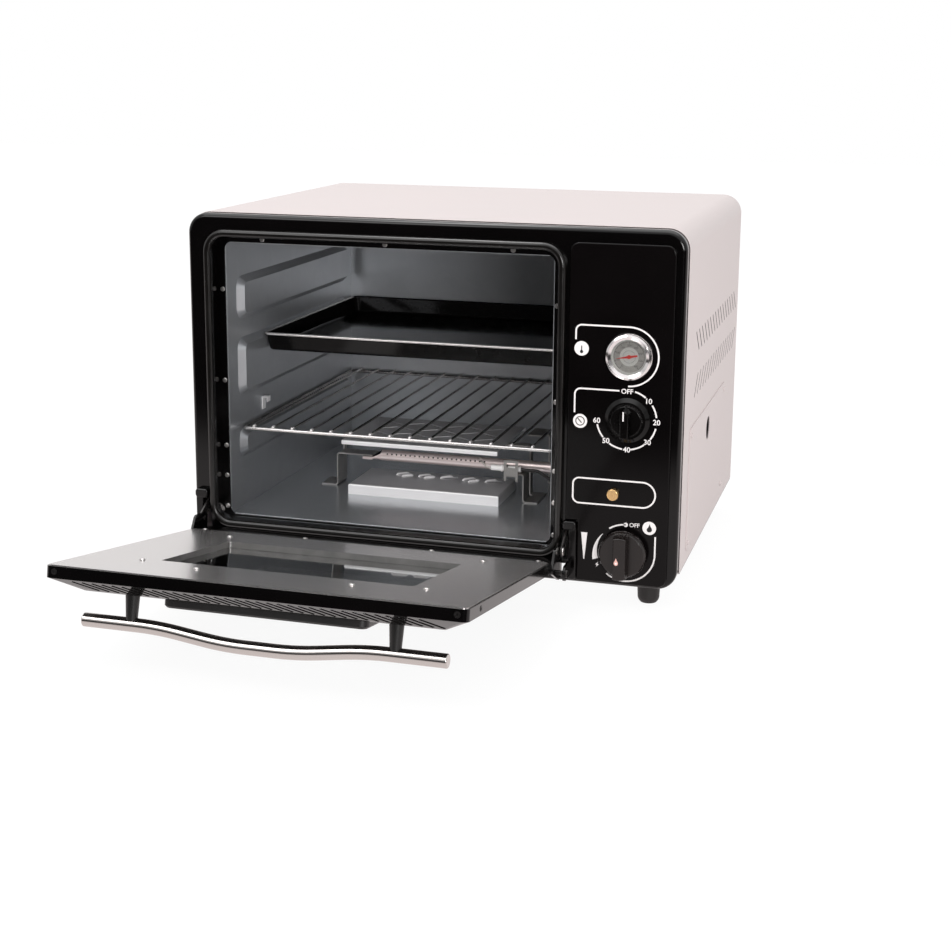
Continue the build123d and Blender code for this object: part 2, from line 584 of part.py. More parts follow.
def liner_top():
    sheet = liner_cap(LINER_CEILING, LINER_CEILING + LINER_SHEET, OPENING_HIGH + FRAME_SHEET)
    slot = extrude(SlotOverall(FLUE_LENGTH, FLUE_WIDTH), 3 * LINER_SHEET, both=True)
    for i in range(FLUE_SLOTS):
        x = OPENING_CENTRE + (i - (FLUE_SLOTS - 1) / 2) * FLUE_PITCH
        sheet -= Pos(x, LINER_BACK - FLUE_REST, LINER_CEILING) * slot
    return sheet


def liner_floor():
    return liner_cap(LINER_FLOOR - LINER_SHEET, LINER_FLOOR, OPENING_LOW - FRAME_SHEET)


def liner_back():
    z0 = LINER_FLOOR - LINER_SHEET
    z1 = LINER_CEILING + LINER_SHEET
    plate = box(LINER_LEFT - LINER_SHEET, LINER_RIGHT + LINER_SHEET,
                LINER_BACK, LINER_BACK + LINER_SHEET, z0, z1)
    behind = WRAP_REAR - REAR_INSET - REAR_SHEET
    for x in (LINER_LEFT + STANDOFF_X, LINER_RIGHT - STANDOFF_X):
        for z in (z0 + 60, z1 - 80):
            plate += box(x - STANDOFF_HALF, x + STANDOFF_HALF, LINER_BACK + LINER_SHEET, behind, z - 1, z + 1)
    return plate


def partition():
    """Heat shield between the oven and the control compartment."""
    x = OPENING_RIGHT + SHIELD_GAP
    y0, y1 = FRAME_DEPTH + 8, WRAP_REAR - 16
    plate = box(x, x + SHIELD_SHEET, y0, y1, WRAP_BOTTOM, OPENING_HIGH)
    plate += box(x, x + SHIELD_FOOT, y0, y1, WRAP_BOTTOM, WRAP_BOTTOM + SHIELD_SHEET)
    return plate - wall_holes(x - 1, x + SHIELD_SHEET + 1)


def liner_screws():
    screws = []
    face = Rot(90, 0, 0) * pan_screw()
    for z in (LINER_CEILING - 50.5, 208, 135, 101, LINER_FLOOR + 8):
        for x in (LINER_LEFT - 4.2, LINER_RIGHT + 4.2):
            screws.append(Pos(x, LINER_FRONT - RETURN_SHEET, z) * face)
    for x in (-138, 0, 138):
        screws.append(Pos(OPENING_CENTRE + x, LINER_FRONT - RETURN_SHEET, LINER_CEILING + 4.6) * face)
    return screws


def rack_stops():
    """Small folded clips on the liner walls that keep the rack from tipping."""
    y0, y1 = RACK_STOP_Y, RACK_STOP_Y + RACK_STOP_LENGTH
    z0, z1 = RACK_STOP_Z, RACK_STOP_Z + RACK_STOP_HEIGHT
    reach, sheet = RACK_STOP_REACH, RACK_STOP_SHEET
    clip = box(0, sheet, y0, y1, z0, z1)
    clip += box(0, reach, y0, y1, z1 - sheet, z1)
    clip += box(reach - sheet, reach, y0, y1, z1 - RACK_STOP_LIP, z1)
    left = Pos(LINER_LEFT, 0, 0) * clip
    right = Pos(LINER_RIGHT, 0, 0) * mirror(clip, Plane.YZ)
    return [left, right]


# ---- Rack and tray ----
def seat_height(ledge_top, rod, side_gap):
    """Axis height of a rod that lies on a ledge's sloping flank, side_gap away from the wall."""
    slope = radians(LEDGE_DRAFT)
    return ledge_top - side_gap / tan(slope) + (rod + SLIDE_GAP) / sin(slope)


def wire_rack():
    z = seat_height(RACK_LEDGE_TOP, RACK_ROD, RACK_SIDE_GAP)
    left = LINER_LEFT + RACK_SIDE_GAP
    right = LINER_RIGHT - RACK_SIDE_GAP
    top = z + RACK_ROD + RACK_WIRE - 0.5
    outline = Pos(0, 0, z) * rounded(left, right, RACK_FRONT, RACK_REAR, 8)
    loop = outline.face().outer_wire()
    rack = sweep(Plane(origin=loop @ 0, z_dir=loop % 0) * Circle(RACK_ROD), loop)
    pitch = (right - left - 37) / (RACK_WIRES - 1)
    for i in range(RACK_WIRES):
        x = left + 13 + i * pitch
        rack += rod_y(RACK_WIRE, x, RACK_FRONT - 1.5, RACK_REAR + 1.5, top)
    return rack


def baking_tray():
    """A deep-drawn tray whose rim is rolled outwards round a bead."""
    z = seat_height(TRAY_LEDGE_TOP, TRAY_BEAD, TRAY_SIDE_GAP)
    left = LINER_LEFT + TRAY_SIDE_GAP
    right = LINER_RIGHT - TRAY_SIDE_GAP

    def level(inset, height):
        outline = rounded(left + inset, right - inset, TRAY_FRONT + inset, TRAY_REAR - inset,
                          TRAY_CORNER - inset / 3)
        return Pos(0, 0, height) * outline
    bottom = z + TRAY_BEAD - TRAY_DEPTH
    wall = TRAY_BEAD / 2
    outside = loft([level(wall, z), level(wall + TRAY_SLOPE, bottom)])
    outside = fillet(outside.edges().group_by(Axis.Z)[0], 4)
    inside = loft([level(wall + TRAY_SHEET, z + 0.01), level(wall + TRAY_SLOPE + TRAY_SHEET, bottom + TRAY_SHEET)])
    inside = fillet(inside.edges().group_by(Axis.Z)[0], 3)
    loop = level(0, z).face().outer_wire()
    bead = sweep(Plane(origin=loop @ 0, z_dir=loop % 0) * Circle(TRAY_BEAD), loop)
    return outside - inside + bead


# ---- Burner ----
def burner_tube():
    """A tube with a row of ports, pressed flat at its closed end, with a mixer bell outside the oven."""
    end = OPENING_RIGHT + 24
    flat_end = BURNER_LEFT + TONGUE
    round_from = flat_end + FLARE

    def section(x, z, half_width, half_height):
        return Plane(origin=(x, BURNER_Y, z), x_dir=(0, 1, 0), z_dir=(1, 0, 0)) * Ellipse(half_width, half_height)
    tube = rod_x(BURNER_RADIUS, round_from, end, BURNER_Y, BURNER_Z)
    tube += loft([section(flat_end - 1, BURNER_SEAT - 1.5, TONGUE_HALF - 0.5, 1.4),
                  section(round_from, BURNER_Z, BURNER_RADIUS, BURNER_RADIUS)])
    tube += box(BURNER_LEFT, flat_end, BURNER_Y - TONGUE_HALF, BURNER_Y + TONGUE_HALF,
                BURNER_SEAT - TONGUE_SHEET, BURNER_SEAT)
    tube -= rod_x(BURNER_BORE, round_from + 1, end + 1, BURNER_Y, BURNER_Z)
    for i in range(PORT_COUNT):
        x = PORT_FIRST_X + i * PORT_PITCH
        hole = Pos(x, BURNER_Y, BURNER_Z) * Rot(PORT_TURN, 0, 0) * Cylinder(
            PORT_RADIUS, 8, align=(Align.CENTER, Align.CENTER, Align.MIN))
        tube -= hole
    mixer = turned([(BURNER_RADIUS, 0), (BURNER_RADIUS + 3, 6), (BURNER_RADIUS + 3, 18), (BURNER_RADIUS + 2, 18),
                    (BURNER_RADIUS + 2, 7), (BURNER_BORE, 0)], 0, 0, 0)
    return tube + Pos(end, BURNER_Y, BURNER_Z) * Rot(0, 0, 90) * mixer


def burner_cover():
    x0, x1 = COVER_LEFT, COVER_RIGHT
    y0, y1 = COVER_FRONT, COVER_FRONT + COVER_LENGTH
    z0, z1 = LINER_FLOOR, LINER_FLOOR + COVER_HEIGHT
    sheet = COVER_SHEET
    shell = box(x0, x1, y0, y1, z0, z1)
    shell = fillet(shell.edges().group_by(Axis.Z)[-1], 2 * sheet)
    shell -= box(x0 + sheet, x1 - sheet, y0 + sheet, y1 - sheet, z0 - sheet, z1 - sheet)
    outline = SlotOverall(COVER_SLOT_LENGTH, COVER_SLOT_WIDTH, rotation=COVER_SLOT_TURN)
    slot = extrude(outline, 3 * sheet, both=True)
    for i in range(COVER_SLOTS):
        shell -= Pos(x0 + COVER_SLOT_START + i * COVER_SLOT_PITCH, COVER_SLOT_Y, z1) * slot
    return shell


def heat_spreader():
    """Plate over the burner, folded down at its front and rear, with crossing slits in its rear part."""
    x0, x1 = SPREADER_LEFT, SPREADER_RIGHT
    y0, y1 = SPREADER_FRONT, SPREADER_FRONT + SPREADER_LENGTH
    low, z = SPREADER_Z - SPREADER_LIP, SPREADER_Z
    sheet = SPREADER_SHEET
    plate = box(x0, x1, y0, y1, low, z + sheet)
    plate = fillet(plate.edges().filter_by(Axis.X).group_by(Axis.Z)[-1], 1.5 * sheet)
    plate -= box(x0 - 1, x1 + 1, y0 + sheet, y1 - sheet, low - 1, z)
    count = 1 + int((SPREADER_WIDTH - 2 * SLIT_MARGIN) / SLIT_PITCH)
    middle = (x0 + x1) / 2
    for row in range(SLIT_ROWS):
        for i in range(count):
            x = middle + (i - (count - 1) / 2) * SLIT_PITCH
            y = y1 - SLIT_MARGIN - row * SLIT_ROW_PITCH
            turn = SLIT_TURN if (i + row) % 2 else -SLIT_TURN
            slit = SlotOverall(SLIT_LENGTH, SLIT_WIDTH, rotation=turn)
            plate -= Pos(x, y, z) * extrude(slit, 3 * sheet, both=True)
    return plate


def folded_strip(points, y0, y1):
    """A strip folded along a line of (X, Z) points through the middle of its thickness."""
    line = FilletPolyline(*points, radius=BEND_RADIUS)
    return front_view(trace(line, BRACKET_SHEET), y0, y1)


def burner_brackets():
    """Folded strips that carry the tube's ends and the spreader, and a small one behind the burner."""
    sheet, half = BRACKET_SHEET, BRACKET_SHEET / 2
    floor = LINER_FLOOR + half
    under_spreader = SPREADER_Z - half
    leg = COVER_LEFT - LEFT_LEG_GAP - half
    on_floor = [(leg - 20, floor), (leg, floor)]
    over_tongue = BURNER_SEAT + half
    left = folded_strip(on_floor + [(leg, over_tongue), (BURNER_LEFT + TONGUE - 1, over_tongue)], 160, 182)
    left += folded_strip(on_floor + [(leg, under_spreader), (SPREADER_LEFT + 20, under_spreader)], 182, 190)
    seat = BURNER_Z - BURNER_RADIUS - half
    post = POST_LEFT + half
    on_floor = [(post + 17, floor), (post, floor)]
    right = folded_strip(on_floor + [(post, seat), (post - 15, seat)], 152, 178)
    right += folded_strip(on_floor + [(post, under_spreader), (SPREADER_RIGHT - 16, under_spreader)], 184, 196)
    right += box(post + BEND_RADIUS + 1, post + 17, 152, 196, LINER_FLOOR, LINER_FLOOR + sheet)
    rear_x = post + 9
    over = SPREADER_Z + half
    rear = folded_strip([(rear_x + 18, floor), (rear_x, floor), (rear_x, over), (rear_x - 24, over)], 240, 260)
    rear += box(rear_x - 24, rear_x - BEND_RADIUS - 1, 232, 268, SPREADER_Z, SPREADER_Z + sheet)
    return [left, right, rear]


def electrode_insulator():
    x, y, z = ELECTRODE_X, ELECTRODE_Y, ELECTRODE_Z
    body = rod_x(ELECTRODE_RADIUS, x - 16, x + 19, y, z)
    body += rod_x(ELECTRODE_RADIUS + 0.9, x - 4, x - 2, y, z)
    return body - rod_x(1.0, x - 26, x + 24, y, z)


def electrode_wire():
    x, y, z = ELECTRODE_X, ELECTRODE_Y, ELECTRODE_Z
    return tube_along([(x + 18, y, z), (x - 22, y, z), (x - 32, y + 4, z + 9)], 4, 0.9)


def electrode_bracket():
    """Upright open frame that clamps the electrode's insulator, with a flange on the tube's right seat."""
    x, y, z = ELECTRODE_X, ELECTRODE_Y, ELECTRODE_Z
    sheet = ELECTRODE_SHEET
    grip = ELECTRODE_RADIUS + sheet
    front = y - grip - 0.9
    loop = rod_x(grip, x, x + 4, y, z) - rod_x(ELECTRODE_RADIUS, x - 1, x + 5, y, z)
    frame = box(x, x + 16.5, front, front + sheet, z - 13.5, z + 11) \
        - box(x + 3, x + 13.5, front - 1, front + 2, z + 2, z + 8) \
        - box(x + 3, x + 13.5, front - 1, front + 2, z - 15, z - 8)
    seat = BURNER_Z - BURNER_RADIUS
    flange = box(POST_LEFT - 14, x + 16.5, front, BURNER_Y - 5, seat, seat + sheet)
    return loop + frame + flange


def ignition_lead():
    x, y, z = ELECTRODE_X, ELECTRODE_Y, ELECTRODE_Z
    low = z - LEAD_DROP
    end_x = OPENING_RIGHT + 40
    return tube_along([(x + 19, y, z), (x + 38, y, z), (x + 58, y, low), (end_x, y, low), (end_x + 16, 60, low),
                       (end_x + 16, 44, low)], [14, 14, 20, 12], 1.8)


# ---- Gas train and controls behind the fascia ----
def gas_valve():
    x, z = COLUMN_X, GAS_Z
    back = LINE_BACK
    body = turned([(0, 0), (11, 0), (11, -17), (14, -17), (14, -46), (0, -46)], x, back, z)
    body -= rod_y(SPINDLE_RADIUS + 3 + RUNNING_GAP, x, back - 1, back + 16, z)
    body -= rod_y(SPINDLE_RADIUS + RUNNING_GAP, x, back + 10, back + 34, z)
    body += rod_x(5, x - 24, x - 10, back + 36, z)
    body += box(x - 22, x + 22, back, back + 1.5, z - 9, z + 9) - rod_y(10.5, x, back - 1, back + 3, z)
    return body


def gas_thrust_collar():
    x, z, y0 = COLUMN_X, GAS_Z, LINE_BACK + 1.5
    ring = rod_y(SPINDLE_RADIUS + 3, x, y0, y0 + 4.5, z)
    return ring - rod_y(SPINDLE_RADIUS + RUNNING_GAP, x, y0 - 1, y0 + 6, z)


def coil_spring(coil_radius, wire, height, turns):
    """A helical spring that stands along Z, with its wire's middle from wire to height - wire."""
    rise = height - 2 * wire
    path = Helix(pitch=rise / turns, height=rise, radius=coil_radius)
    section = Plane(origin=path @ 0, z_dir=path % 0) * Circle(wire)
    return Pos(0, 0, wire) * sweep(section, path, is_frenet=True)


def gas_return_spring():
    y0 = LINE_BACK + 6.3
    return Pos(COLUMN_X, y0, GAS_Z) * Rot(-90, 0, 0) * coil_spring(SPINDLE_RADIUS + 1.6, 0.6, 9.4, 4)


def gas_spindle():
    """Round spindle with a flat for the knob, and a flange ring that rests on the thrust collar."""
    x, z = COLUMN_X, GAS_Z
    y0 = -PAD_RAISE - 18
    rod = rod_y(SPINDLE_RADIUS, x, y0, LINE_BACK + 26, z)
    rod += rod_y(SPINDLE_RADIUS + 1.6, x, LINE_BACK - 0.6, LINE_BACK + 1.3, z)
    return rod - box(x + SPINDLE_RADIUS - 1, x + 8, y0 - 1, y0 + 12, z - 8, z + 8)


def knob_body(radius, base, height, grip_half, grip_length, bore, flat, bore_depth, pointed):
    """A round base with a finger grip across it, standing on Z = 0 with its pointer along +Y."""
    disc = revolve(Plane.XZ * make_face(Polyline((0, 0), (radius, 0), (radius, base * 0.45), (radius - 2, base),
                                                 (0, base), close=True)), Axis.Z)
    disc = fillet(disc.edges().group_by(Axis.Z)[-1], 1.0)
    if pointed:
        outline = make_face(Polyline((-grip_half, -grip_length), (grip_half, -grip_length),
                                     (grip_half, grip_length - 6), (0, grip_length), (-grip_half, grip_length - 6),
                                     close=True))
    else:
        outline = Rectangle(2 * grip_half, 2 * grip_length) & Circle(radius - 1.2)
    grip = Pos(0, 0, base - 1) * extrude(outline, height - base + 1, taper=5)
    grip = fillet(grip.edges().group_by(Axis.Z)[-1], 1.2)
    hub = Cylinder(bore, bore_depth * 2)
    if flat:
        hub -= Pos(bore - 1 + 5, 0, 0) * Box(10, 20, 60)
    return disc + grip - hub


def gas_knob():
    knob = knob_body(GAS_RADIUS, 7, 22, 7.6, GAS_RADIUS + 5, SPINDLE_RADIUS, True, 12, False)
    return Pos(COLUMN_X, -PAD_RAISE - GAS_TRAVEL - 2.0, GAS_Z) * Rot(90, 0, 0) * knob


def timer_knob():
    skirt = revolve(Plane.XZ * make_face(Polyline((0, 0), (TIMER_RADIUS, 0), (TIMER_RADIUS, 1.2),
                                                  (TIMER_RADIUS - 4, 4.5), (0, 4.5), close=True)), Axis.Z)
    knob = knob_body(TIMER_RADIUS - 5.5, 9, 20, 5.2, TIMER_RADIUS - 6.6, SHAFT_RADIUS, True, 12, True)
    hub = Cylinder(SHAFT_RADIUS, 24) - Pos(SHAFT_RADIUS - 1 + 5, 0, 0) * Box(10, 20, 60)
    return Pos(COLUMN_X, -PAD_RAISE - 0.8, TIMER_Z) * Rot(90, 0, 0) * (skirt + knob - hub)


def timer_body():
    x, z, y0 = COLUMN_X, TIMER_Z, LINE_BACK
    case = box(x - 24, x + 24, y0, y0 + 1.2, z - 16, z + 16) + rod_y(21, x, y0 + 1, y0 + 24, z)
    return case - rod_y(SHAFT_RADIUS + RUNNING_GAP, x, y0 - 1, y0 + 16, z)


def timer_shaft():
    x, z = COLUMN_X, TIMER_Z
    y0 = -PAD_RAISE - 0.8 - 12
    rod = rod_y(SHAFT_RADIUS, x, y0, LINE_BACK + 14, z)
    return rod - box(x + SHAFT_RADIUS - 1, x + 8, y0 - 1, y0 + 12, z - 8, z + 8)


def safety_valve():
    """Body behind the safety button: the button's stem runs in it against a spring."""
    x, z, y0 = BUTTON_X, BUTTON_Z, LINE_BACK
    body = turned([(0, 0), (9, 0), (9, -26), (6, -26), (6, -40), (0, -40)], x, y0, z)
    body += box(x - 16, x + 16, y0, y0 + 1.5, z - 6, z + 6)
    body -= rod_y(BUTTON_RADIUS + 0.4, x, y0 - 1, y0 + 8, z)
    body -= rod_y(4.2, x, y0 - 1, y0 + 20, z)
    return body - rod_y(2.0 + RUNNING_GAP, x, y0 + 10, y0 + 30, z)


def safety_button():
    x, z = BUTTON_X, BUTTON_Z
    front = -PAD_RAISE - 5.5
    cap = rod_y(BUTTON_RADIUS, x, front, LINE_BACK + 3.5, z)
    cap = fillet(cap.edges().group_by(Axis.Y)[0], 1.0)
    return cap + rod_y(2.0, x, LINE_BACK, LINE_BACK + 24, z)


def button_spring():
    y0 = LINE_BACK + 8.2
    return Pos(BUTTON_X, y0, BUTTON_Z) * Rot(-90, 0, 0) * coil_spring(3.0, 0.5, 11.6, 5)


def thermocouple():
    """Flame sensor: a slim probe beside the burner with its lead back to the safety valve."""
    y, z = PROBE_Y, PROBE_Z
    return tube_along([(24, y, z), (OPENING_RIGHT + 20.5, y, z), (BUTTON_X, y, BUTTON_Z),
                       (BUTTON_X, LINE_BACK + 40, BUTTON_Z)], [18, 18], 1.6)


def thermometer_case():
    """Chromed ring and cup through the fascia."""
    front = -PAD_RAISE
    r = THERMO_RADIUS
    cup = r - THERMO_LIP
    outline = [(0, -THERMO_CUP), (cup, -THERMO_CUP), (cup, 0), (r, 0), (r, 1.5), (r - 1.5, 4.5), (r - 3.5, 5.5),
               (DIAL_RADIUS + 0.4, 3.8), (DIAL_RADIUS + 0.4, -1.2), (0, -1.2)]
    return turned(outline, COLUMN_X, front, THERMO_Z)


def thermometer_dial():
    y = -PAD_RAISE + 1.2
    return rod_y(DIAL_RADIUS + 0.4, COLUMN_X, y - 0.8, y, THERMO_Z) - rod_y(0.85, COLUMN_X, y - 2, y + 1, THERMO_Z)


def thermometer_needle():
    """Balanced pointer on a small arbor; at rest it points to the left and a little down."""
    y = -PAD_RAISE - 0.5
    blade = front_view(make_face(Polyline((-14, 0), (0, 1.3), (8.5, 0.8), (8.5, -0.8), (0, -1.3), close=True)),
                       -0.25, 0.25)
    hub = Rot(90, 0, 0) * Cylinder(2.0, 1.0)
    arbor = rod_y(0.8, 0, 0, 1.2, 0)
    return Pos(COLUMN_X, y, THERMO_Z) * Rot(0, -10, 0) * (blade + hub + arbor)


def thermometer_glass():
    y = -PAD_RAISE - 2.6
    return rod_y(DIAL_RADIUS + 0.4, COLUMN_X, y - 1.0, y, THERMO_Z)


def thermometer_stem():
    """Capillary and bulb that feel the oven's heat."""
    y = -PAD_RAISE + THERMO_CUP
    return tube_along([(COLUMN_X, y, THERMO_Z), (COLUMN_X, 120, THERMO_Z), (COLUMN_X - 23.5, BULB_Y, BULB_Z),
                       (LINER_RIGHT - 26, BULB_Y, BULB_Z)], [30, 18], BULB_RADIUS)


def gas_feed_pipe():
    x, y, z = COLUMN_X, LINE_BACK + 36, GAS_Z
    jet_x = OPENING_RIGHT + 46
    return tube_along([(x - 24, y, z), (x - 36, y, z), (x - 36, BURNER_Y - 30, z), (jet_x + 10, BURNER_Y, BURNER_Z - 8),
                       (jet_x + 10, BURNER_Y, BURNER_Z)], [9, 14, 5], 2.6) \
        + rod_x(3.4, OPENING_RIGHT + 34, jet_x + 13, BURNER_Y, BURNER_Z)


def gas_inlet():
    """Rigid supply pipe with a hexagon and a threaded stub outside the rear cover."""
    x, z = COLUMN_X, INLET_Z
    rear = WRAP_REAR - REAR_INSET
    pipe = rod_y(4, x, LINE_BACK + 46, rear + 2, z)
    hexagon = front_view(Pos(x, z) * RegularPolygon(9.5, 6), rear, rear + 8)
    return pipe + hexagon + rod_y(INLET_RADIUS, x, rear + 7, INLET_TIP, z) - rod_y(2.5, x, rear - 20, INLET_TIP + 1, z)


# ---- Hinges and stays ----
def hinge_brackets():
    """Cheek that carries the hinge pin, with a rounded cover beside the door's ear and a cap above the stay."""
    low = FRAME_LIFT + 4
    high = SLOT_HIGH + 1
    cap_low = high - CAP_HEIGHT
    cheek = Pos(HINGE_Y, HINGE_Z) * Circle(8) + Pos(HINGE_Y / 2, HINGE_Z) * Rectangle(-HINGE_Y, 16)
    cheek_plate = side_view(cheek, BRACKET_IN, BRACKET_OUT)
    outline = rounded(BRACKET_IN, POCKET_OUT - 0.4, low, high, 3.5)
    cover = front_view(outline, -5.5, 0)
    cover = fillet(cover.faces().sort_by(Axis.Y)[0].edges(), 1.4)
    cap = front_view(rounded(EAR_IN + 1, POCKET_OUT - 0.4, cap_low, high, 3.5), -CAP_DEPTH, 0)
    cap = fillet(cap.faces().sort_by(Axis.Y)[0].edges(), 2.0)
    piece = cheek_plate + cover + cap
    piece -= rod_x(PIN_RADIUS, BRACKET_IN - 5, BRACKET_OUT + 5, HINGE_Y, HINGE_Z)
    return list(both_sides(piece))


def hinge_pins():
    pin = rod_x(PIN_RADIUS, EAR_IN + 0.2, BRACKET_OUT, HINGE_Y, HINGE_Z)
    pin += rod_x(PIN_RADIUS + 2, BRACKET_OUT, BRACKET_OUT + 1.8, HINGE_Y, HINGE_Z)
    return list(both_sides(pin))


def door_ears():
    """Black ears on the door's sides: the hinge runs in the lower hole, the stay's rivet sits in the upper."""
    hinge_end = Circle(7.5)
    rivet_end = Pos(2, RIVET_ARM) * Circle(6)
    shoulder = Pos(-18, RIVET_ARM - 1) * Circle(6)
    toe = Pos(-26, 6) * Circle(5)
    shape = make_hull([*hinge_end.edges(), *rivet_end.edges(), *shoulder.edges(), *toe.edges()])
    ear = side_view(shape, EAR_IN, EAR_OUT)
    ear -= rod_x(PIN_RADIUS + RUNNING_GAP, EAR_IN - 1, EAR_OUT + 1, 0, 0)
    ear -= rod_x(RIVET_RADIUS, EAR_IN - 1, EAR_OUT + 1, 0, RIVET_ARM)
    return [ear, mirror(ear, Plane.YZ)]


def door_rivets():
    rivet = rod_x(RIVET_RADIUS, EAR_IN, RIVET_END, 0, RIVET_ARM)
    head = rod_x(RIVET_RADIUS + 2, RIVET_END, RIVET_HEAD, 0, RIVET_ARM)
    head = fillet(head.edges().group_by(Axis.X)[-1], 0.9)
    rivet += head
    return [rivet, mirror(rivet, Plane.YZ)]


def stay_arm(side):
    """Strip from the ear's rivet to the guide pin, slotted where it runs on the pin."""
    end = STAY_LENGTH + GUIDE_RADIUS + 7
    strip = Pos(end / 2, 0) * SlotCenterToCenter(end, 2 * STAY_HALF + 2)
    first = STAY_SHORTEST - GUIDE_RADIUS - 1.0
    last = STAY_LENGTH + GUIDE_RADIUS + 1.8
    slot_half = GUIDE_RADIUS + STAY_SIDE_PLAY
    slot = Pos((first + last) / 2, 0) * SlotOverall(last - first + 2, 2 * slot_half)
    arm = side_view(strip - slot - Circle(RIVET_RADIUS + RUNNING_GAP), STAY_IN, STAY_OUT)
    arm = Pos(0, RIVET_Y, RIVET_Z) * Rot(STAY_ANGLE, 0, 0) * arm
    left, right = both_sides(arm)
    return left if side < 0 else right


def stay_guides():
    """Angle on the frame's back that carries the pin the stay slides on."""
    plate = box(STAY_OUT + 1.6, STAY_OUT + 3.1, FRAME_SHEET, GUIDE_Y + 7, GUIDE_Z - 8, GUIDE_Z + 8)
    plate += box(STAY_OUT + 1.6, STAY_OUT + 11, FRAME_SHEET, FRAME_SHEET + 1.5, GUIDE_Z - 8, GUIDE_Z + 8)
    plate += rod_x(GUIDE_RADIUS, STAY_IN - 1.5, STAY_OUT + 2, GUIDE_Y, GUIDE_Z)
    plate += rod_x(GUIDE_RADIUS + 1.6, STAY_IN - 3.0, STAY_IN - 1.5, GUIDE_Y, GUIDE_Z)
    return list(both_sides(plate))


# ---- Door ----
def door_plan(inset, n):
    """The door's outline at height n, drawn in from all four sides."""
    return Pos(0, -DOOR_MIDDLE_U, n) * RectangleRounded(
        2 * (DOOR_HALF - inset), DOOR_TOP - DOOR_BOTTOM - 2 * inset, max(DOOR_CORNER - inset / 6, 2))


def door_skin():
    """Black outer shell: straight edge, bevelled outside with slanted vents, and the hinge rail."""
    wall = DOOR_WALL
    edge = extrude(door_plan(0, DOOR_LOW_N), RAIL_N - DOOR_LOW_N)
    bevel = loft([door_plan(DOOR_BEVEL_RUN, DOOR_OUT_N), door_plan(0, DOOR_LOW_N)])
    hollow = extrude(door_plan(wall, DOOR_LOW_N), RAIL_N - DOOR_LOW_N + 1)
    hollow += loft([door_plan(DOOR_BEVEL_RUN + wall * 0.8, DOOR_OUT_N + wall), door_plan(wall, DOOR_LOW_N)])
    skin = edge + bevel - hollow
    skin += box(-DOOR_HALF + wall / 2, DOOR_HALF - wall / 2, -PANEL_START - 8, -DOOR_BOTTOM - wall / 2,
                RAIL_N - wall, RAIL_N)
    skin -= Pos(0, -(WINDOW_START + WINDOW_END) / 2, DOOR_OUT_N) * Box(
        2 * WINDOW_HALF - 24, WINDOW_END - WINDOW_START - 24, 6)
    run_middle = DOOR_TOP - DOOR_BEVEL_RUN / 2
    for i in range(VENT_COUNT):
        x = (i - (VENT_COUNT - 1) / 2) * VENT_PITCH
        vent = Pos(x, -run_middle, DOOR_OUT_N + DOOR_BEVEL / 2) * Rot(0, 0, -VENT_SLANT) * Box(VENT_WIDTH, VENT_LENGTH, 16)
        skin -= vent
    return skin


def door_inner_panel():
    half = DOOR_HALF - 1.5
    u0, u1 = PANEL_START, DOOR_TOP - 1.5
    outline = Pos(0, -(u0 + u1) / 2, RAIL_N) * RectangleRounded(2 * half, u1 - u0, 5)
    sheet = extrude(outline, PANEL_SHEET)
    middle = Pos(0, -(GLASS_START + GLASS_END) / 2, RAIL_N - GLASS_LIP)
    lip = middle * extrude(RectangleRounded(2 * GLASS_HALF + 2, GLASS_END - GLASS_START + 2, 4), GLASS_LIP + 0.5)
    hole = middle * extrude(RectangleRounded(2 * GLASS_HALF, GLASS_END - GLASS_START, 3), 20, both=True)
    return sheet + lip - hole


def door_inner_glass():
    middle = Pos(0, -(GLASS_START + GLASS_END) / 2, RAIL_N - GLASS_LIP - GLASS_SHEET)
    return middle * Box(2 * (GLASS_HALF + GLASS_LAP), GLASS_END - GLASS_START + 2 * GLASS_LAP, GLASS_SHEET,
                        align=(Align.CENTER, Align.CENTER, Align.MIN))


def glass_clips():
    """Folded clips that hold the inner glass against the panel's lip."""
    clips = []
    edge = GLASS_HALF + GLASS_LAP
    low = RAIL_N - GLASS_LIP - GLASS_SHEET - CLIP_SHEET
    length = GLASS_END - GLASS_START
    for side in (-1, 1):
        for v in (-length / 3.4, length / 3.4):
            y = -(GLASS_START + GLASS_END) / 2 - v
            x0, x1 = sorted((side * (edge - 6), side * (edge + 16)))
            clip = box(x0, x1, y - 7, y + 7, low, low + CLIP_SHEET)
            x0, x1 = sorted((side * (edge + 7.5), side * (edge + 10.5)))
            clips.append(clip + box(x0, x1, y - 7, y + 7, low, RAIL_N))
    return clips


def window_block(inset, low, high, corner):
    return Pos(0, -(WINDOW_START + WINDOW_END) / 2, low) * extrude(
        RectangleRounded(2 * (WINDOW_HALF - inset), WINDOW_END - WINDOW_START - 2 * inset, corner), high - low)


def door_window_frame():
    out = DOOR_OUT_N - WINDOW_PROUD
    frame = window_block(0, out, DOOR_OUT_N, 8)
    frame = chamfer(frame.faces().sort_by(Axis.Z)[0].edges(), 2.0)
    frame -= window_block(9, out - 1, out + 2.2, 4)
    return frame - window_block(14, out - 1, DOOR_OUT_N + 1, 3)


def door_outer_glass():
    out = DOOR_OUT_N - WINDOW_PROUD
    return window_block(9.2, out - 0.2, out + 2.2, 4)


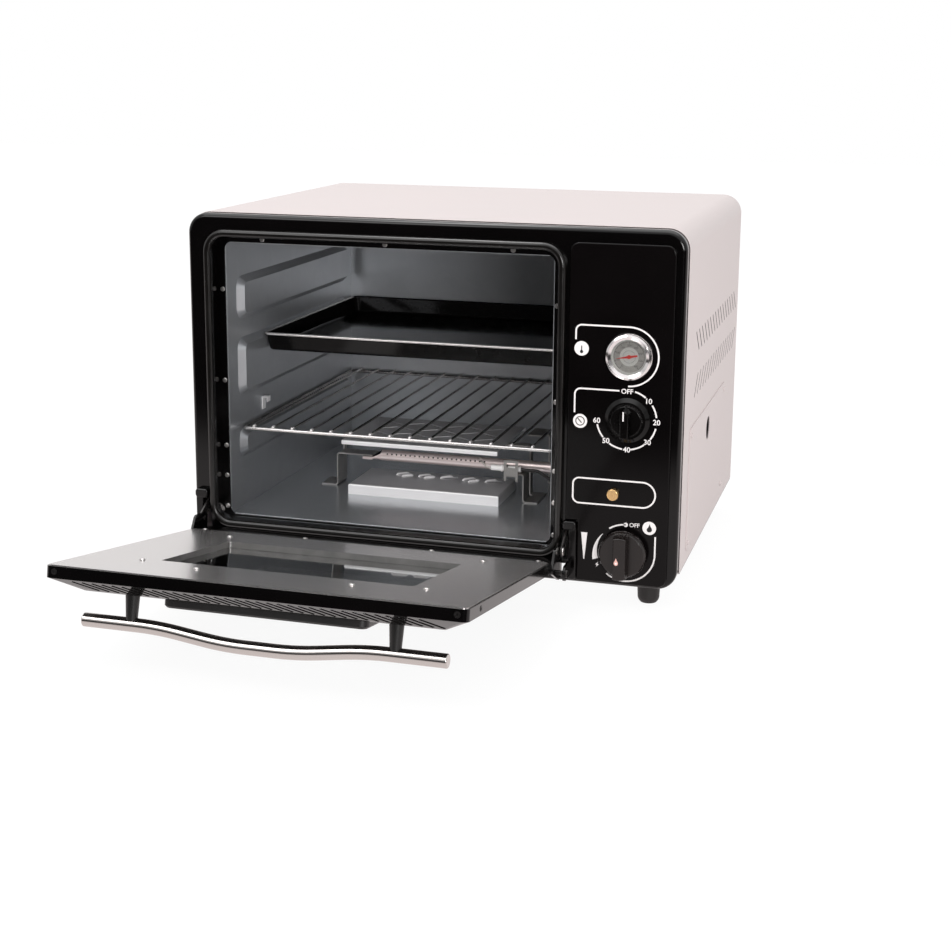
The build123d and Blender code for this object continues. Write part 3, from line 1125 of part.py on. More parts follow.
def handle_bar():
    path = FilletPolyline(
        (-BAR_HALF, -POST_U, BAR_N), (-BAR_BOW_START, -POST_U, BAR_N), (-BAR_BOW_END, -POST_U, BAR_N - BAR_BOW),
        (BAR_BOW_END, -POST_U, BAR_N - BAR_BOW), (BAR_BOW_START, -POST_U, BAR_N), (BAR_HALF, -POST_U, BAR_N),
        radius=BAR_BOW_RADIUS)
    bar = sweep(Plane(origin=path @ 0, z_dir=path % 0) * Circle(BAR_RADIUS), path)
    ends = bar.edges().filter_by(GeomType.CIRCLE).group_by(Axis.X)
    return fillet(ends[0] + ends[-1], 1.2)


def handle_posts():
    posts = []
    bar = rod_x(BAR_RADIUS, -BAR_HALF, BAR_HALF, -POST_U, BAR_N)
    for side in (-1, 1):
        lower = Pos(side * POST_X, -POST_U, DOOR_OUT_N) * Ellipse(6.8, 6.0)
        upper = Pos(side * POST_X, -POST_U, BAR_N + 3) * Ellipse(5.2, 5.4)
        posts.append(loft([upper, lower]) - bar)
    return posts


def door_screws():
    places = [(184, 26.5), (70, 24), (137, 67), (75, 276.6), (138.6, 259)]
    screws = []
    for x, u in places:
        for side in (-1, 1):
            face = RAIL_N if u < PANEL_START else DOOR_FACE
            screws.append(Pos(side * x, -u, face) * pan_screw())
    return screws


def body_screws():
    """Screws of the access cover, the casing's sides and the rear cover."""
    screws = []
    right = Rot(0, 90, 0) * pan_screw()
    left = Rot(0, -90, 0) * pan_screw()
    back = Rot(-90, 0, 0) * pan_screw()
    for y in (ACCESS_Y[0] + 8, ACCESS_Y[1] - 8):
        for z in (ACCESS_Z[0] + 8, ACCESS_Z[1] - 8):
            screws.append(Pos(WRAP_HALF + ACCESS_SHEET, y, z) * right)
    for y in (FRAME_DEPTH + 26, WRAP_REAR / 2 + 11.5, WRAP_REAR - 17):
        screws.append(Pos(-WRAP_HALF, y, WRAP_BOTTOM + 8) * left)
    for x in (27.5 - FRAME_HALF, 0, FRAME_HALF - 27.5):
        for z in (WRAP_BOTTOM + 22.5, FRAME_TOP - 18.5):
            screws.append(Pos(x, WRAP_REAR - REAR_INSET, z) * back)
    return screws


finish("outer_wrap", outer_wrap())
finish("side_access_cover", side_access_cover())
finish("front_bezel", front_bezel())
finish("control_fascia", control_fascia())
finish("door_seal", door_seal())
finish("rear_cover", rear_cover())
finish("base_pan", base_pan())
finish("feet", feet())
finish("liner_left", liner_left())
finish("liner_right", liner_right())
finish("liner_top", liner_top())
finish("liner_floor", liner_floor())
finish("liner_back", liner_back())
finish("heat_partition", partition())
finish("rack_stops", rack_stops())
finish("wire_rack", wire_rack())
finish("baking_tray", baking_tray())
finish("burner_tube", burner_tube())
finish("burner_cover", burner_cover())
finish("heat_spreader", heat_spreader())
finish("burner_brackets", burner_brackets() + [electrode_bracket()])
finish("electrode_insulator", electrode_insulator())
finish("electrode_wire", electrode_wire())
finish("ignition_lead", ignition_lead())
finish("gas_valve", gas_valve())
finish("gas_thrust_collar", gas_thrust_collar())
finish("gas_return_spring", gas_return_spring())
finish("gas_spindle", gas_spindle())
finish("gas_knob", gas_knob())
finish("timer_knob", timer_knob())
finish("timer_body", timer_body())
finish("timer_shaft", timer_shaft())
finish("safety_valve", safety_valve())
finish("safety_button", safety_button())
finish("button_spring", button_spring())
finish("thermocouple", thermocouple())
finish("thermometer_case", thermometer_case())
finish("thermometer_dial", thermometer_dial())
finish("thermometer_needle", thermometer_needle())
finish("thermometer_glass", thermometer_glass())
finish("thermometer_stem", thermometer_stem())
finish("gas_feed_pipe", gas_feed_pipe())
finish("gas_inlet", gas_inlet())
finish("hinge_brackets", hinge_brackets())
finish("hinge_pins", hinge_pins())
finish("stay_guides", stay_guides())
finish("stay_arm_left", stay_arm(-1))
finish("stay_arm_right", stay_arm(1))
finish("door_ears", door_ears(), DOOR_PLACE)
finish("door_rivets", door_rivets(), DOOR_PLACE)
finish("door_skin", door_skin(), DOOR_PLACE)
finish("door_inner_panel", door_inner_panel(), DOOR_PLACE)
finish("door_inner_glass", door_inner_glass(), DOOR_PLACE)
finish("glass_clips", glass_clips(), DOOR_PLACE)
finish("door_window_frame", door_window_frame(), DOOR_PLACE)
finish("door_outer_glass", door_outer_glass(), DOOR_PLACE)
finish("handle_bar", handle_bar(), DOOR_PLACE)
finish("handle_posts", handle_posts(), DOOR_PLACE)
finish("door_screws", door_screws(), DOOR_PLACE)
finish("case_screws", body_screws() + liner_screws())
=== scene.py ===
import bpy
import math
from mathutils import Matrix, Vector


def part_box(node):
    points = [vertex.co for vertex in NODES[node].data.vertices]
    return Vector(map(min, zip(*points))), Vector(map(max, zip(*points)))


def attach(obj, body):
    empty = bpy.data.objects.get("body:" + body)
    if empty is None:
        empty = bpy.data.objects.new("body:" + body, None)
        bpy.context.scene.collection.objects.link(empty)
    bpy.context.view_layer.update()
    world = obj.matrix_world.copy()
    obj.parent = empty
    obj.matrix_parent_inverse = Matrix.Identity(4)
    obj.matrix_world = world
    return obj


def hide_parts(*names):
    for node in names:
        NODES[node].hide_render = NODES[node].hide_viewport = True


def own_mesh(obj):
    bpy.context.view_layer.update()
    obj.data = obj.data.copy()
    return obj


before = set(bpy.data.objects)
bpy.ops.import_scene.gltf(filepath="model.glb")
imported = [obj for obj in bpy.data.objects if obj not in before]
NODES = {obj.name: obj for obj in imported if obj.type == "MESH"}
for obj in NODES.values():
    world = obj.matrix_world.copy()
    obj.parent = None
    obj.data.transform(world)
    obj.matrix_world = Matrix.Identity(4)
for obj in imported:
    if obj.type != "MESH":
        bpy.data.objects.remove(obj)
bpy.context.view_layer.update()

scene = bpy.context.scene

# The source draws the oven in mm from the middle of its front frame: x to the right, y to the back, z up.
# The frame's origin lies under the middle of the whole part, so every place is shifted by these sizes.
OPENING_X = -50.0          # middle of the mouth and of the door
HINGE_Y = -22.0
HINGE_Z = 38.0
TILT = math.radians(9.8)   # the open door lies this far above level
DOOR_TOP = 331.0           # hinge to the door's free edge
DOOR_LOW = 2.0             # hinge line to the underside of the door's straight edge, square to the door
INLET_TIP = 435.0          # rear end of the gas inlet
ACCESS_SHEET = 1.0         # the side cover stands this far out of the casing
SHIFT_X = -ACCESS_SHEET / 2
SHIFT_Y = -(HINGE_Y - DOOR_TOP * math.cos(TILT) + DOOR_LOW * math.sin(TILT) + INLET_TIP) / 2
FRAME_LIFT = 22.0          # height of the front frame's lower edge
FASCIA_Y = -4.0            # face of the raised pad
KNOB_X = 213.5             # line of the knobs and the thermometer
THERMO_Z = 263.5


def mm(x, y, z):
    """A place in the source's millimetres as a point of the frame, in metres."""
    return Vector(((x + SHIFT_X) / 1000, (y + SHIFT_Y) / 1000, z / 1000))


def door_point(x, u, n):
    """A point on the open door: u runs from the hinge to the free edge, n out of the inner face."""
    return mm(x + OPENING_X, HINGE_Y - u * math.cos(TILT) + n * math.sin(TILT),
              HINGE_Z + u * math.sin(TILT) + n * math.cos(TILT))


# ---------------------------------------------------------------- materials
INDEX = 1.5                # refraction of paint, enamel and glass
COAT_ROUGHNESS = 0.05
BRUSH_STRETCH = 0.012      # scale of the pattern along the brushing, which draws its spots out into lines
BRUSH_DEPTH = 0.00001      # metres
SPANGLE_DEPTH = 0.00002


def new_material(name):
    m = bpy.data.materials.new(name)
    m.use_nodes = True
    nt = m.node_tree
    bsdf = nt.nodes["Principled BSDF"]
    return m, nt, bsdf


def coords(nt, scale=(1, 1, 1)):
    tc = nt.nodes.new("ShaderNodeTexCoord")
    mp = nt.nodes.new("ShaderNodeMapping")
    mp.inputs["Scale"].default_value = scale
    nt.links.new(tc.outputs["Object"], mp.inputs["Vector"])
    return mp.outputs["Vector"]


def noise(nt, vec, scale, detail=3.0, rough=0.5):
    n = nt.nodes.new("ShaderNodeTexNoise")
    n.inputs["Scale"].default_value = scale
    n.inputs["Detail"].default_value = detail
    n.inputs["Roughness"].default_value = rough
    nt.links.new(vec, n.inputs["Vector"])
    return n.outputs["Fac"]


def ramp(nt, fac, stops):
    r = nt.nodes.new("ShaderNodeValToRGB")
    els = r.color_ramp.elements
    els[0].position, els[0].color = stops[0][0], stops[0][1]
    els[1].position, els[1].color = stops[-1][0], stops[-1][1]
    for p, c in stops[1:-1]:
        e = els.new(p)
        e.color = c
    nt.links.new(fac, r.inputs["Fac"])
    return r.outputs["Color"]


def spread(nt, fac, low, high, a=0.3, b=0.7):
    """Maps a factor from a..b to low..high."""
    r = nt.nodes.new("ShaderNodeMapRange")
    r.inputs["From Min"].default_value = a
    r.inputs["From Max"].default_value = b
    r.inputs["To Min"].default_value = low
    r.inputs["To Max"].default_value = high
    nt.links.new(fac, r.inputs["Value"])
    return r.outputs["Result"]


def bump(nt, bsdf, height, strength, distance):
    b = nt.nodes.new("ShaderNodeBump")
    b.inputs["Strength"].default_value = strength
    b.inputs["Distance"].default_value = distance
    nt.links.new(height, b.inputs["Height"])
    nt.links.new(b.outputs["Normal"], bsdf.inputs["Normal"])


def times(nt, a, b):
    mix = nt.nodes.new("ShaderNodeMix")
    mix.data_type = "RGBA"
    mix.blend_type = "MULTIPLY"
    mix.inputs["Factor"].default_value = 1.0
    nt.links.new(a, mix.inputs["A"])
    nt.links.new(b, mix.inputs["B"])
    return mix.outputs["Result"]


def shade(c, k):
    """The colour c made k times as bright."""
    return (min(c[0] * k, 1), min(c[1] * k, 1), min(c[2] * k, 1), 1)


def surface(name, colour, rough, metal=0.0, vary=0.08, cloud=14.0, fine=900.0, bump_mm=0.01,
            bump_strength=0.25, rough_vary=0.05, coat=0.0, specular=0.5):
    """A plain coloured surface with slow tone clouds, roughness drift and a fine skin."""
    m, nt, b = new_material(name)
    vec = coords(nt)
    slow = noise(nt, vec, cloud, 4.0, 0.6)
    quick = noise(nt, vec, fine, 2.0, 0.5)
    col = ramp(nt, slow, [(0.3, shade(colour, 1 - vary)), (0.7, shade(colour, 1 + vary))])
    nt.links.new(col, b.inputs["Base Color"])
    nt.links.new(spread(nt, slow, max(rough - rough_vary, 0.02), rough + rough_vary), b.inputs["Roughness"])
    b.inputs["Metallic"].default_value = metal
    b.inputs["Coat Weight"].default_value = coat
    b.inputs["Coat Roughness"].default_value = COAT_ROUGHNESS
    b.inputs["Specular IOR Level"].default_value = specular
    b.inputs["IOR"].default_value = INDEX
    bump(nt, b, quick, bump_strength, bump_mm / 1000)
    return m


def brushed(name, colour, rough, along, metal=1.0, vary=0.1, lines=1400.0, bump_strength=0.2, rough_vary=0.07,
            soil=0.1):
    """Metal with fine lines that run along one axis."""
    m, nt, b = new_material(name)
    scale = [1.0, 1.0, 1.0]
    scale["XYZ".index(along)] = BRUSH_STRETCH
    vec = coords(nt, scale=tuple(scale))
    streak = noise(nt, vec, lines, 3.0, 0.6)
    cloud = noise(nt, coords(nt), 9.0, 4.0, 0.6)
    tone = ramp(nt, streak, [(0.25, shade(colour, 1 - vary)), (0.75, shade(colour, 1 + vary))])
    drift = ramp(nt, cloud, [(0.3, (1 - soil, 1 - soil, 1 - soil, 1)), (0.7, (1, 1, 1, 1))])
    nt.links.new(times(nt, tone, drift), b.inputs["Base Color"])
    nt.links.new(spread(nt, streak, max(rough - rough_vary, 0.03), rough + rough_vary), b.inputs["Roughness"])
    b.inputs["Metallic"].default_value = metal
    bump(nt, b, streak, bump_strength, BRUSH_DEPTH)
    return m


def spangled(name, colour, rough, metal=0.9, cell=70.0, vary=0.07, rough_vary=0.06, cloud_scale=6.0, low=0.86,
             ripple=0.12, scuffs=0.07, bottom_shade=None):
    """Zinc or aluminium coated sheet: a faint crystal pattern with small handling marks.

    Its last argument is a painted shade that darkens the sheet towards the bottom, given as (low, high,
    share): at the height low it keeps that share of its brightness, at high all of it.
    """
    m, nt, b = new_material(name)
    vec = coords(nt)
    v = nt.nodes.new("ShaderNodeTexVoronoi")
    v.inputs["Scale"].default_value = cell
    nt.links.new(vec, v.inputs["Vector"])
    grey = nt.nodes.new("ShaderNodeSeparateColor")
    nt.links.new(v.outputs["Color"], grey.inputs["Color"])
    cloud = noise(nt, vec, cloud_scale, 5.0, 0.65)
    scuff = noise(nt, coords(nt, scale=(1, 0.06, 1)), 260.0, 4.0, 0.7)
    tone = ramp(nt, grey.outputs["Red"], [(0.0, shade(colour, 1 - vary)), (1.0, shade(colour, 1 + vary))])
    drift = ramp(nt, cloud, [(0.3, (low, low + 0.01, low + 0.02, 1)), (0.7, (1, 1, 1, 1))])
    marks = ramp(nt, scuff, [(0.28, (1 - scuffs, 1 - scuffs, 1 - scuffs, 1)), (0.36, (1, 1, 1, 1))])
    body = times(nt, times(nt, tone, drift), marks)
    # painted shade: darker towards the bottom
    if bottom_shade:
        height = nt.nodes.new("ShaderNodeSeparateXYZ")
        nt.links.new(vec, height.inputs["Vector"])
        k = spread(nt, height.outputs["Z"], 0.0, 1.0, bottom_shade[0], bottom_shade[1])
        body = times(nt, body, ramp(nt, k, [(0.0, shade((1, 1, 1), bottom_shade[2])), (1.0, (1, 1, 1, 1))]))
    nt.links.new(body, b.inputs["Base Color"])
    nt.links.new(spread(nt, cloud, rough - rough_vary, rough + rough_vary), b.inputs["Roughness"])
    b.inputs["Metallic"].default_value = metal
    bump(nt, b, noise(nt, vec, 420.0, 3.0, 0.6), ripple, SPANGLE_DEPTH)
    return m


def glass(name, colour, rough, transmission=1.0):
    """Glass with a faint smear."""
    m, nt, b = new_material(name)
    vec = coords(nt)
    smear = noise(nt, vec, 12.0, 4.0, 0.6)
    tone = ramp(nt, smear, [(0.3, shade(colour, 0.96)), (0.7, shade(colour, 1.0))])
    nt.links.new(tone, b.inputs["Base Color"])
    nt.links.new(spread(nt, smear, rough, rough + 0.004), b.inputs["Roughness"])
    b.inputs["Transmission Weight"].default_value = transmission
    b.inputs["IOR"].default_value = INDEX
    return m


# Finishes by key: name, colour and roughness first; colours are linear.
MAT = {
    "casing": surface("casing_silver", (0.655, 0.585, 0.578), 0.46, metal=0.06, vary=0.012, cloud=5,
                      fine=2600, bump_mm=0.006, rough_vary=0.04, specular=0.35),
    "enamel": surface("gloss_black_enamel", (0.0014, 0.0011, 0.0012), 0.11, vary=0.35, cloud=9, fine=350,
                      bump_mm=0.004, bump_strength=0.10, rough_vary=0.03, specular=0.34),
    "fascia": surface("gloss_black_fascia", (0.0028, 0.0022, 0.0023), 0.14, vary=0.3, cloud=7, fine=260,
                      bump_mm=0.003, bump_strength=0.06, rough_vary=0.02, specular=0.15),
    "seal": surface("black_silicone", (0.0045, 0.0038, 0.0034), 0.22, vary=0.25, cloud=30, fine=1500,
                    bump_mm=0.02, bump_strength=0.12, specular=0.5),
    "zinc": spangled("zinc_sheet", (0.50, 0.49, 0.48), 0.38, metal=0.85),
    "frame_zinc": spangled("bracket_sheet", (0.40, 0.385, 0.37), 0.36, metal=0.9, vary=0.05),
    # painted light and shade: the liner is one aluminised sheet, given a lighter copy for its sides, which
    # also darken towards the bottom, a darker one for its top and back, and a middle one for its floor
    "liner_side": spangled("aluminised_side", (0.62, 0.635, 0.66), 0.33, metal=0.74, cell=60, vary=0.02,
                           cloud_scale=4.5, low=0.88, ripple=0.08, scuffs=0.04, bottom_shade=(0.06, 0.30, 0.50)),
    "liner": spangled("aluminised_liner", (0.44, 0.45, 0.465), 0.34, metal=0.72, cell=60, vary=0.02,
                      cloud_scale=4.5, low=0.88, ripple=0.08, scuffs=0.04),
    "liner_low": spangled("aluminised_floor", (0.52, 0.535, 0.555), 0.24, metal=0.80, cell=60, vary=0.02,
                          rough_vary=0.04, cloud_scale=4.5, low=0.88, ripple=0.06, scuffs=0.04),
    # painted shade: a matte black laid on hollows and hidden faces that lie in shade
    "painted_shade": surface("painted_shade_black", (0.0045, 0.0036, 0.0034), 0.8, vary=0.3, cloud=300, fine=2500,
                    bump_mm=0.01, specular=0.1),
    # painted shade: a dark grey for the cut walls of the casing's louvres
    "slot_shade": surface("painted_slot_shade", (0.05, 0.045, 0.044), 0.6, vary=0.1, cloud=200, fine=2500,
                         bump_mm=0.006),
    "rubber": surface("foot_rubber", (0.0060, 0.0048, 0.0045), 0.5, vary=0.2, fine=1800, bump_mm=0.03),
    "burner": brushed("burner_steel", (0.80, 0.69, 0.67), 0.34, "X", metal=0.75, vary=0.05),
    "cover": brushed("burner_cover_steel", (0.76, 0.75, 0.765), 0.36, "X", metal=0.7, vary=0.05,
                     lines=900.0),
    # bright sheet for the rack stops, and a painted highlight on the front lips of the burner cover and heat
    # spreader and on the louvre lips
    "bright": brushed("bright_sheet_and_painted_highlight", (0.96, 0.95, 0.955), 0.36, "X", metal=0.35, vary=0.035, lines=900.0,
                      bump_strength=0.05, rough_vary=0.03, soil=0.03),
    "ceramic": surface("white_ceramic", (0.92, 0.90, 0.885), 0.25, vary=0.02, coat=0.4),
    "wire": brushed("bright_wire", (0.62, 0.58, 0.54), 0.25, "Z"),
    "lead": surface("silicone_lead", (0.014, 0.012, 0.011), 0.45, vary=0.1, cloud=60, bump_mm=0.02),
    "brass": surface("turned_brass", (0.80, 0.52, 0.24), 0.26, metal=0.85, vary=0.05, cloud=60, fine=3000,
                     bump_mm=0.004),
    "knob": surface("knob_black", (0.0095, 0.0066, 0.0060), 0.20, vary=0.2, cloud=30, fine=1400,
                    bump_mm=0.006, bump_strength=0.15, specular=0.42),
    "timer_knob": surface("timer_knob_black", (0.0026, 0.0022, 0.0022), 0.11, vary=0.2, cloud=30, fine=900,
                          bump_mm=0.004, bump_strength=0.10, specular=0.22),
    "steel": brushed("bright_steel", (0.62, 0.60, 0.58), 0.28, "Y"),
    "screw": surface("screw_zinc", (0.50, 0.48, 0.47), 0.32, metal=0.95, vary=0.08, cloud=300, fine=4000,
                     bump_mm=0.003),
    "dark_steel": surface("blackened_steel", (0.030, 0.027, 0.026), 0.26, metal=0.35, vary=0.3, cloud=120,
                          fine=1500, bump_mm=0.008),
    "plastic": surface("matte_black_plastic", (0.0085, 0.0080, 0.0078), 0.34, vary=0.15, fine=1600,
                       bump_mm=0.015),
    "window": surface("window_frame_black", (0.014, 0.0135, 0.0135), 0.36, vary=0.12, fine=1500,
                      bump_mm=0.012),
    "chrome": surface("polished_ring", (0.84, 0.80, 0.80), 0.13, metal=1.0, vary=0.02, cloud=40, fine=2500,
                      bump_mm=0.002, rough_vary=0.03),
    "handle": brushed("satin_stainless", (0.60, 0.565, 0.545), 0.14, "X", lines=2200, rough_vary=0.04,
                      vary=0.04, soil=0.03, bump_strength=0.12),
    "dial": surface("dial_grey_white", (0.80, 0.79, 0.76), 0.40, vary=0.03, cloud=80),
    "red": surface("pointer_red", (0.86, 0.075, 0.06), 0.35, vary=0.05),
    "clear": glass("clear_glass", (0.97, 0.985, 0.98), 0.0),
    "smoked": glass("smoked_glass", (0.20, 0.21, 0.22), 0.02, 0.7),
    "inner_panel": spangled("door_lining", (0.63, 0.605, 0.595), 0.25, metal=0.92, cell=46, vary=0.006,
                            rough_vary=0.012, cloud_scale=5.0, low=0.965, ripple=0.02, scuffs=0.012),
    # painted shade: a dark grey for the walls of the door panel's window
    "window_wall": surface("window_wall_painted_shade", (0.23, 0.225, 0.22), 0.36, metal=0.8, vary=0.15, cloud=60,
                           fine=900, bump_mm=0.006),
    "tray": surface("tray_enamel", (0.0030, 0.0027, 0.0026), 0.10, vary=0.4, cloud=90, fine=700,
                    bump_mm=0.008, bump_strength=0.08, rough_vary=0.03, specular=0.12),
    # painted highlight: a bright metal on the top of the tray's black rim
    "tray_rim": surface("tray_rim_painted_highlight", (0.62, 0.60, 0.59), 0.22, metal=0.75, vary=0.12, cloud=60,
                        fine=900, bump_mm=0.006),
    "rack": brushed("plated_wire", (0.42, 0.40, 0.39), 0.26, "Y", vary=0.12),
    # painted highlight: a lighter copy of the rack's plated wire for its front rod
    "rack_front": brushed("plated_wire_painted_highlight", (0.66, 0.64, 0.63), 0.26, "X", metal=0.85, vary=0.04,
                          bump_strength=0.05, soil=0.03),
    # painted highlight: a near-white tone for the weld ends of the rack's wires
    "rack_end": surface("wire_end_painted_highlight", (0.93, 0.91, 0.90), 0.22, metal=0.55, vary=0.03, cloud=200,
                        fine=2500, bump_mm=0.004),
    "white": surface("print_white", (0.86, 0.82, 0.81), 0.42, vary=0.03, cloud=300, fine=2000,
                     bump_mm=0.004),
    "dial_band": surface("dial_band_grey", (0.50, 0.47, 0.445), 0.42, vary=0.10, cloud=500, fine=2500,
                         bump_mm=0.004),
    "grey_print": surface("print_grey", (0.10, 0.10, 0.10), 0.5, vary=0.06, cloud=300, fine=2000,
                          bump_mm=0.004),
    "black_print": surface("print_black", (0.010, 0.009, 0.009), 0.4, vary=0.1, cloud=200, fine=1500,
                           bump_mm=0.004),
    "pink_print": surface("print_pink", (0.80, 0.46, 0.40), 0.45, vary=0.05, cloud=400, fine=2000,
                          bump_mm=0.004),
    "screw_dark": surface("recessed_screw", (0.020, 0.018, 0.018), 0.3, metal=0.6, vary=0.2, cloud=300,
                          fine=2500, bump_mm=0.006),
}

# The finish of each node.
WEAR = {
    "outer_wrap": "casing", "side_access_cover": "casing", "front_bezel": "enamel", "door_skin": "enamel",
    "hinge_brackets": "enamel", "door_ears": "enamel", "control_fascia": "fascia", "door_seal": "seal",
    "rear_cover": "zinc", "base_pan": "zinc", "heat_partition": "zinc", "burner_brackets": "frame_zinc",
    "stay_guides": "dark_steel", "rack_stops": "bright", "glass_clips": "zinc", "liner_left": "liner_side",
    "liner_right": "liner_side", "liner_top": "liner", "liner_floor": "liner_low", "liner_back": "liner",
    "feet": "rubber", "burner_tube": "burner", "burner_cover": "cover", "heat_spreader": "cover",
    "gas_feed_pipe": "burner", "electrode_insulator": "ceramic", "electrode_wire": "wire",
    "gas_return_spring": "wire", "button_spring": "wire", "thermometer_stem": "wire",
    "thermocouple": "wire", "ignition_lead": "lead", "gas_valve": "brass", "safety_valve": "brass",
    "gas_thrust_collar": "brass", "gas_inlet": "brass", "safety_button": "brass", "gas_spindle": "brass",
    "gas_knob": "knob", "timer_knob": "timer_knob", "timer_shaft": "steel", "hinge_pins": "dark_steel",
    "door_rivets": "steel", "stay_arm_left": "dark_steel", "stay_arm_right": "dark_steel",
    "case_screws": "screw", "door_screws": "screw", "timer_body": "plastic", "thermometer_case": "chrome",
    "handle_bar": "handle", "thermometer_dial": "dial", "thermometer_needle": "red",
    "thermometer_glass": "clear", "door_inner_glass": "clear", "door_outer_glass": "smoked",
    "door_inner_panel": "inner_panel", "door_window_frame": "window", "handle_posts": "plastic",
    "baking_tray": "tray", "wire_rack": "rack",
}

# Edge rounding in mm; nodes not named here get none.
EDGE = {
    "outer_wrap": 0.35, "side_access_cover": 0.3, "front_bezel": 0.6, "control_fascia": 0.4,
    "rear_cover": 0.3, "base_pan": 0.3, "liner_left": 0.35, "liner_right": 0.35, "liner_top": 0.3,
    "liner_floor": 0.3, "heat_spreader": 0.35, "burner_brackets": 0.4, "door_skin": 0.5, "door_ears": 0.5,
    "door_window_frame": 0.5, "hinge_brackets": 0.5, "gas_knob": 0.5, "timer_knob": 0.5, "timer_body": 0.6,
    "gas_valve": 0.6, "safety_valve": 0.6, "stay_arm_left": 0.4, "stay_arm_right": 0.4, "stay_guides": 0.3,
    "thermometer_case": 0.3, "heat_partition": 0.3, "rack_stops": 0.3, "glass_clips": 0.3, "gas_inlet": 0.5,
}

SHARP = math.radians(32)   # edges sharper than this stay edges


def soften(o, width_mm):
    """Rounded edges that catch the light, and smooth curved faces."""
    weld = o.modifiers.new("weld", "WELD")
    weld.merge_threshold = 1e-6
    o.data.shade_smooth()
    bv = o.modifiers.new("edge", "BEVEL")
    bv.width = width_mm / 1000
    bv.segments = 2
    bv.limit_method = "ANGLE"
    bv.angle_limit = SHARP
    bv.use_clamp_overlap = True
    bv.harden_normals = False
    wn = o.modifiers.new("normals", "WEIGHTED_NORMAL")
    wn.keep_sharp = True


for name, key in WEAR.items():
    o = NODES[name]
    o.data.materials.clear()
    o.data.materials.append(MAT[key])
    o.data.set_sharp_from_angle(angle=SHARP)
    if name in EDGE:
        soften(o, EDGE[name])


def paint_where(name, key, test):
    """A second finish on the faces that pass a test of their middle, in mm, and their normal."""
    o = NODES[name]
    o.data.materials.append(MAT[key])
    slot = len(o.data.materials) - 1
    for poly in o.data.polygons:
        c = poly.center
        if test(c.x * 1000 - SHIFT_X, c.y * 1000 - SHIFT_Y, c.z * 1000, poly.normal):
            poly.material_index = slot


def door_place(x, y, z):
    """Where a place lies on the open door: across, out from the hinge, and out of the inner face."""
    y, z = y - HINGE_Y, z - HINGE_Z
    return x - OPENING_X, -y * math.cos(TILT) + z * math.sin(TILT), y * math.sin(TILT) + z * math.cos(TILT)


def out_of_door(n):
    """How far a normal points out of the door's inner face."""
    return n.y * math.sin(TILT) + n.z * math.cos(TILT)


VENTS_HALF = 174.0         # the row of vents reaches this far to each side on the door
VENTS_OUT = (300.0, 329.5)  # and lies between these distances from the hinge
VENTS_RISE = (-11.0, 3.0)  # and between these heights on the door
WINDOW_HALF = 170.0        # the door's window lies within this to each side
WINDOW_OUT = (90.0, 300.0)  # and between these distances from the hinge


def in_vent(x, y, z, n):
    """The cut walls of the slots in the door's bevelled free edge, which get a painted shade."""
    across, out, rise = door_place(x, y, z)
    return (abs(out_of_door(n)) < 0.15 and abs(across) < VENTS_HALF
            and VENTS_OUT[0] < out < VENTS_OUT[1] and VENTS_RISE[0] < rise < VENTS_RISE[1])


def in_window_wall(x, y, z, n):
    """The walls of the opening in the door's silver panel, which get a painted shade."""
    across, out, _ = door_place(x, y, z)
    return abs(out_of_door(n)) < 0.5 and abs(across) < WINDOW_HALF and WINDOW_OUT[0] < out < WINDOW_OUT[1]


def under_panel(x, y, z, n):
    """The back of the door's silver panel, which gets a painted shade."""
    return out_of_door(n) < -0.5


RIM_DEPTH = 2.6            # the painted highlight on the tray's rim, from its top down
RIM_FRONT = 99.2           # and where its front, left and right sides begin
RIM_LEFT = -222.8
RIM_RIGHT = 122.8
tray_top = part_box("baking_tray")[1][2] * 1000


def on_tray_rim(x, y, z, n):
    """The top of the tray's rim, apart from its rear side: it gets a painted highlight."""
    return z > tray_top - RIM_DEPTH and (y < RIM_FRONT or x < RIM_LEFT or x > RIM_RIGHT)


LOUVRES_Y = 20.0           # the casing's louvres lie behind this
LOUVRES_Z = (195.0, 295.0)
SHEET_CORE = (0.02, 0.78)  # depths between the faces of the casing's sheet
case_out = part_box("outer_wrap")[1][0] * 1000 - SHIFT_X
case_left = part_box("outer_wrap")[0][0] * 1000 - SHIFT_X


def in_casing_slot(x, y, z, n):
    """The cut walls of the louvres in the casing's sides, which get a painted shade."""
    depth = min(case_out - x, x - case_left)
    in_row = LOUVRES_Z[0] < z < LOUVRES_Z[1] and y > LOUVRES_Y
    return abs(n.x) < 0.3 and in_row and SHEET_CORE[0] < depth < SHEET_CORE[1]


REAR_SCREWS_Y = 400.0      # the screws behind this hold the rear cover


def on_right_side(x, y, z, n):
    """The screw heads in the casing's right side."""
    return x > case_out - 1.0 and y < REAR_SCREWS_Y


BURNER_Y = 165.0           # axis of the burner tube
BURNER_Z = 98.0
BORE = 6.38                # the walls of its bore and ports lie within this radius
BORE_END = 130.0


def in_burner(x, y, z, n):
    """The walls of the burner tube's bore and ports, which get a painted shade."""
    return x < BORE_END and math.hypot(y - BURNER_Y, z - BURNER_Z) < BORE


RACK_FRONT_ROD = 46.4      # the rack's front rod lies before this
COVER_LIP = 129.4          # the front edge of the burner cover lies before this
SPREADER_LIP = 142.9       # and that of the heat spreader before this


def on_rack_front(x, y, z, n):
    """The rack's front rod, which gets a painted highlight."""
    return y < RACK_FRONT_ROD


def front_lip(front):
    """A test for the faces of a piece's front edge."""
    return lambda x, y, z, n: y < front and n.y < -0.4


# painted shade in the door's vent slots
paint_where("door_skin", "painted_shade", in_vent)
# painted shade on the hidden back of the door's silver panel
paint_where("door_inner_panel", "painted_shade", under_panel)
# painted shade on the walls of the door panel's window
paint_where("door_inner_panel", "window_wall", in_window_wall)
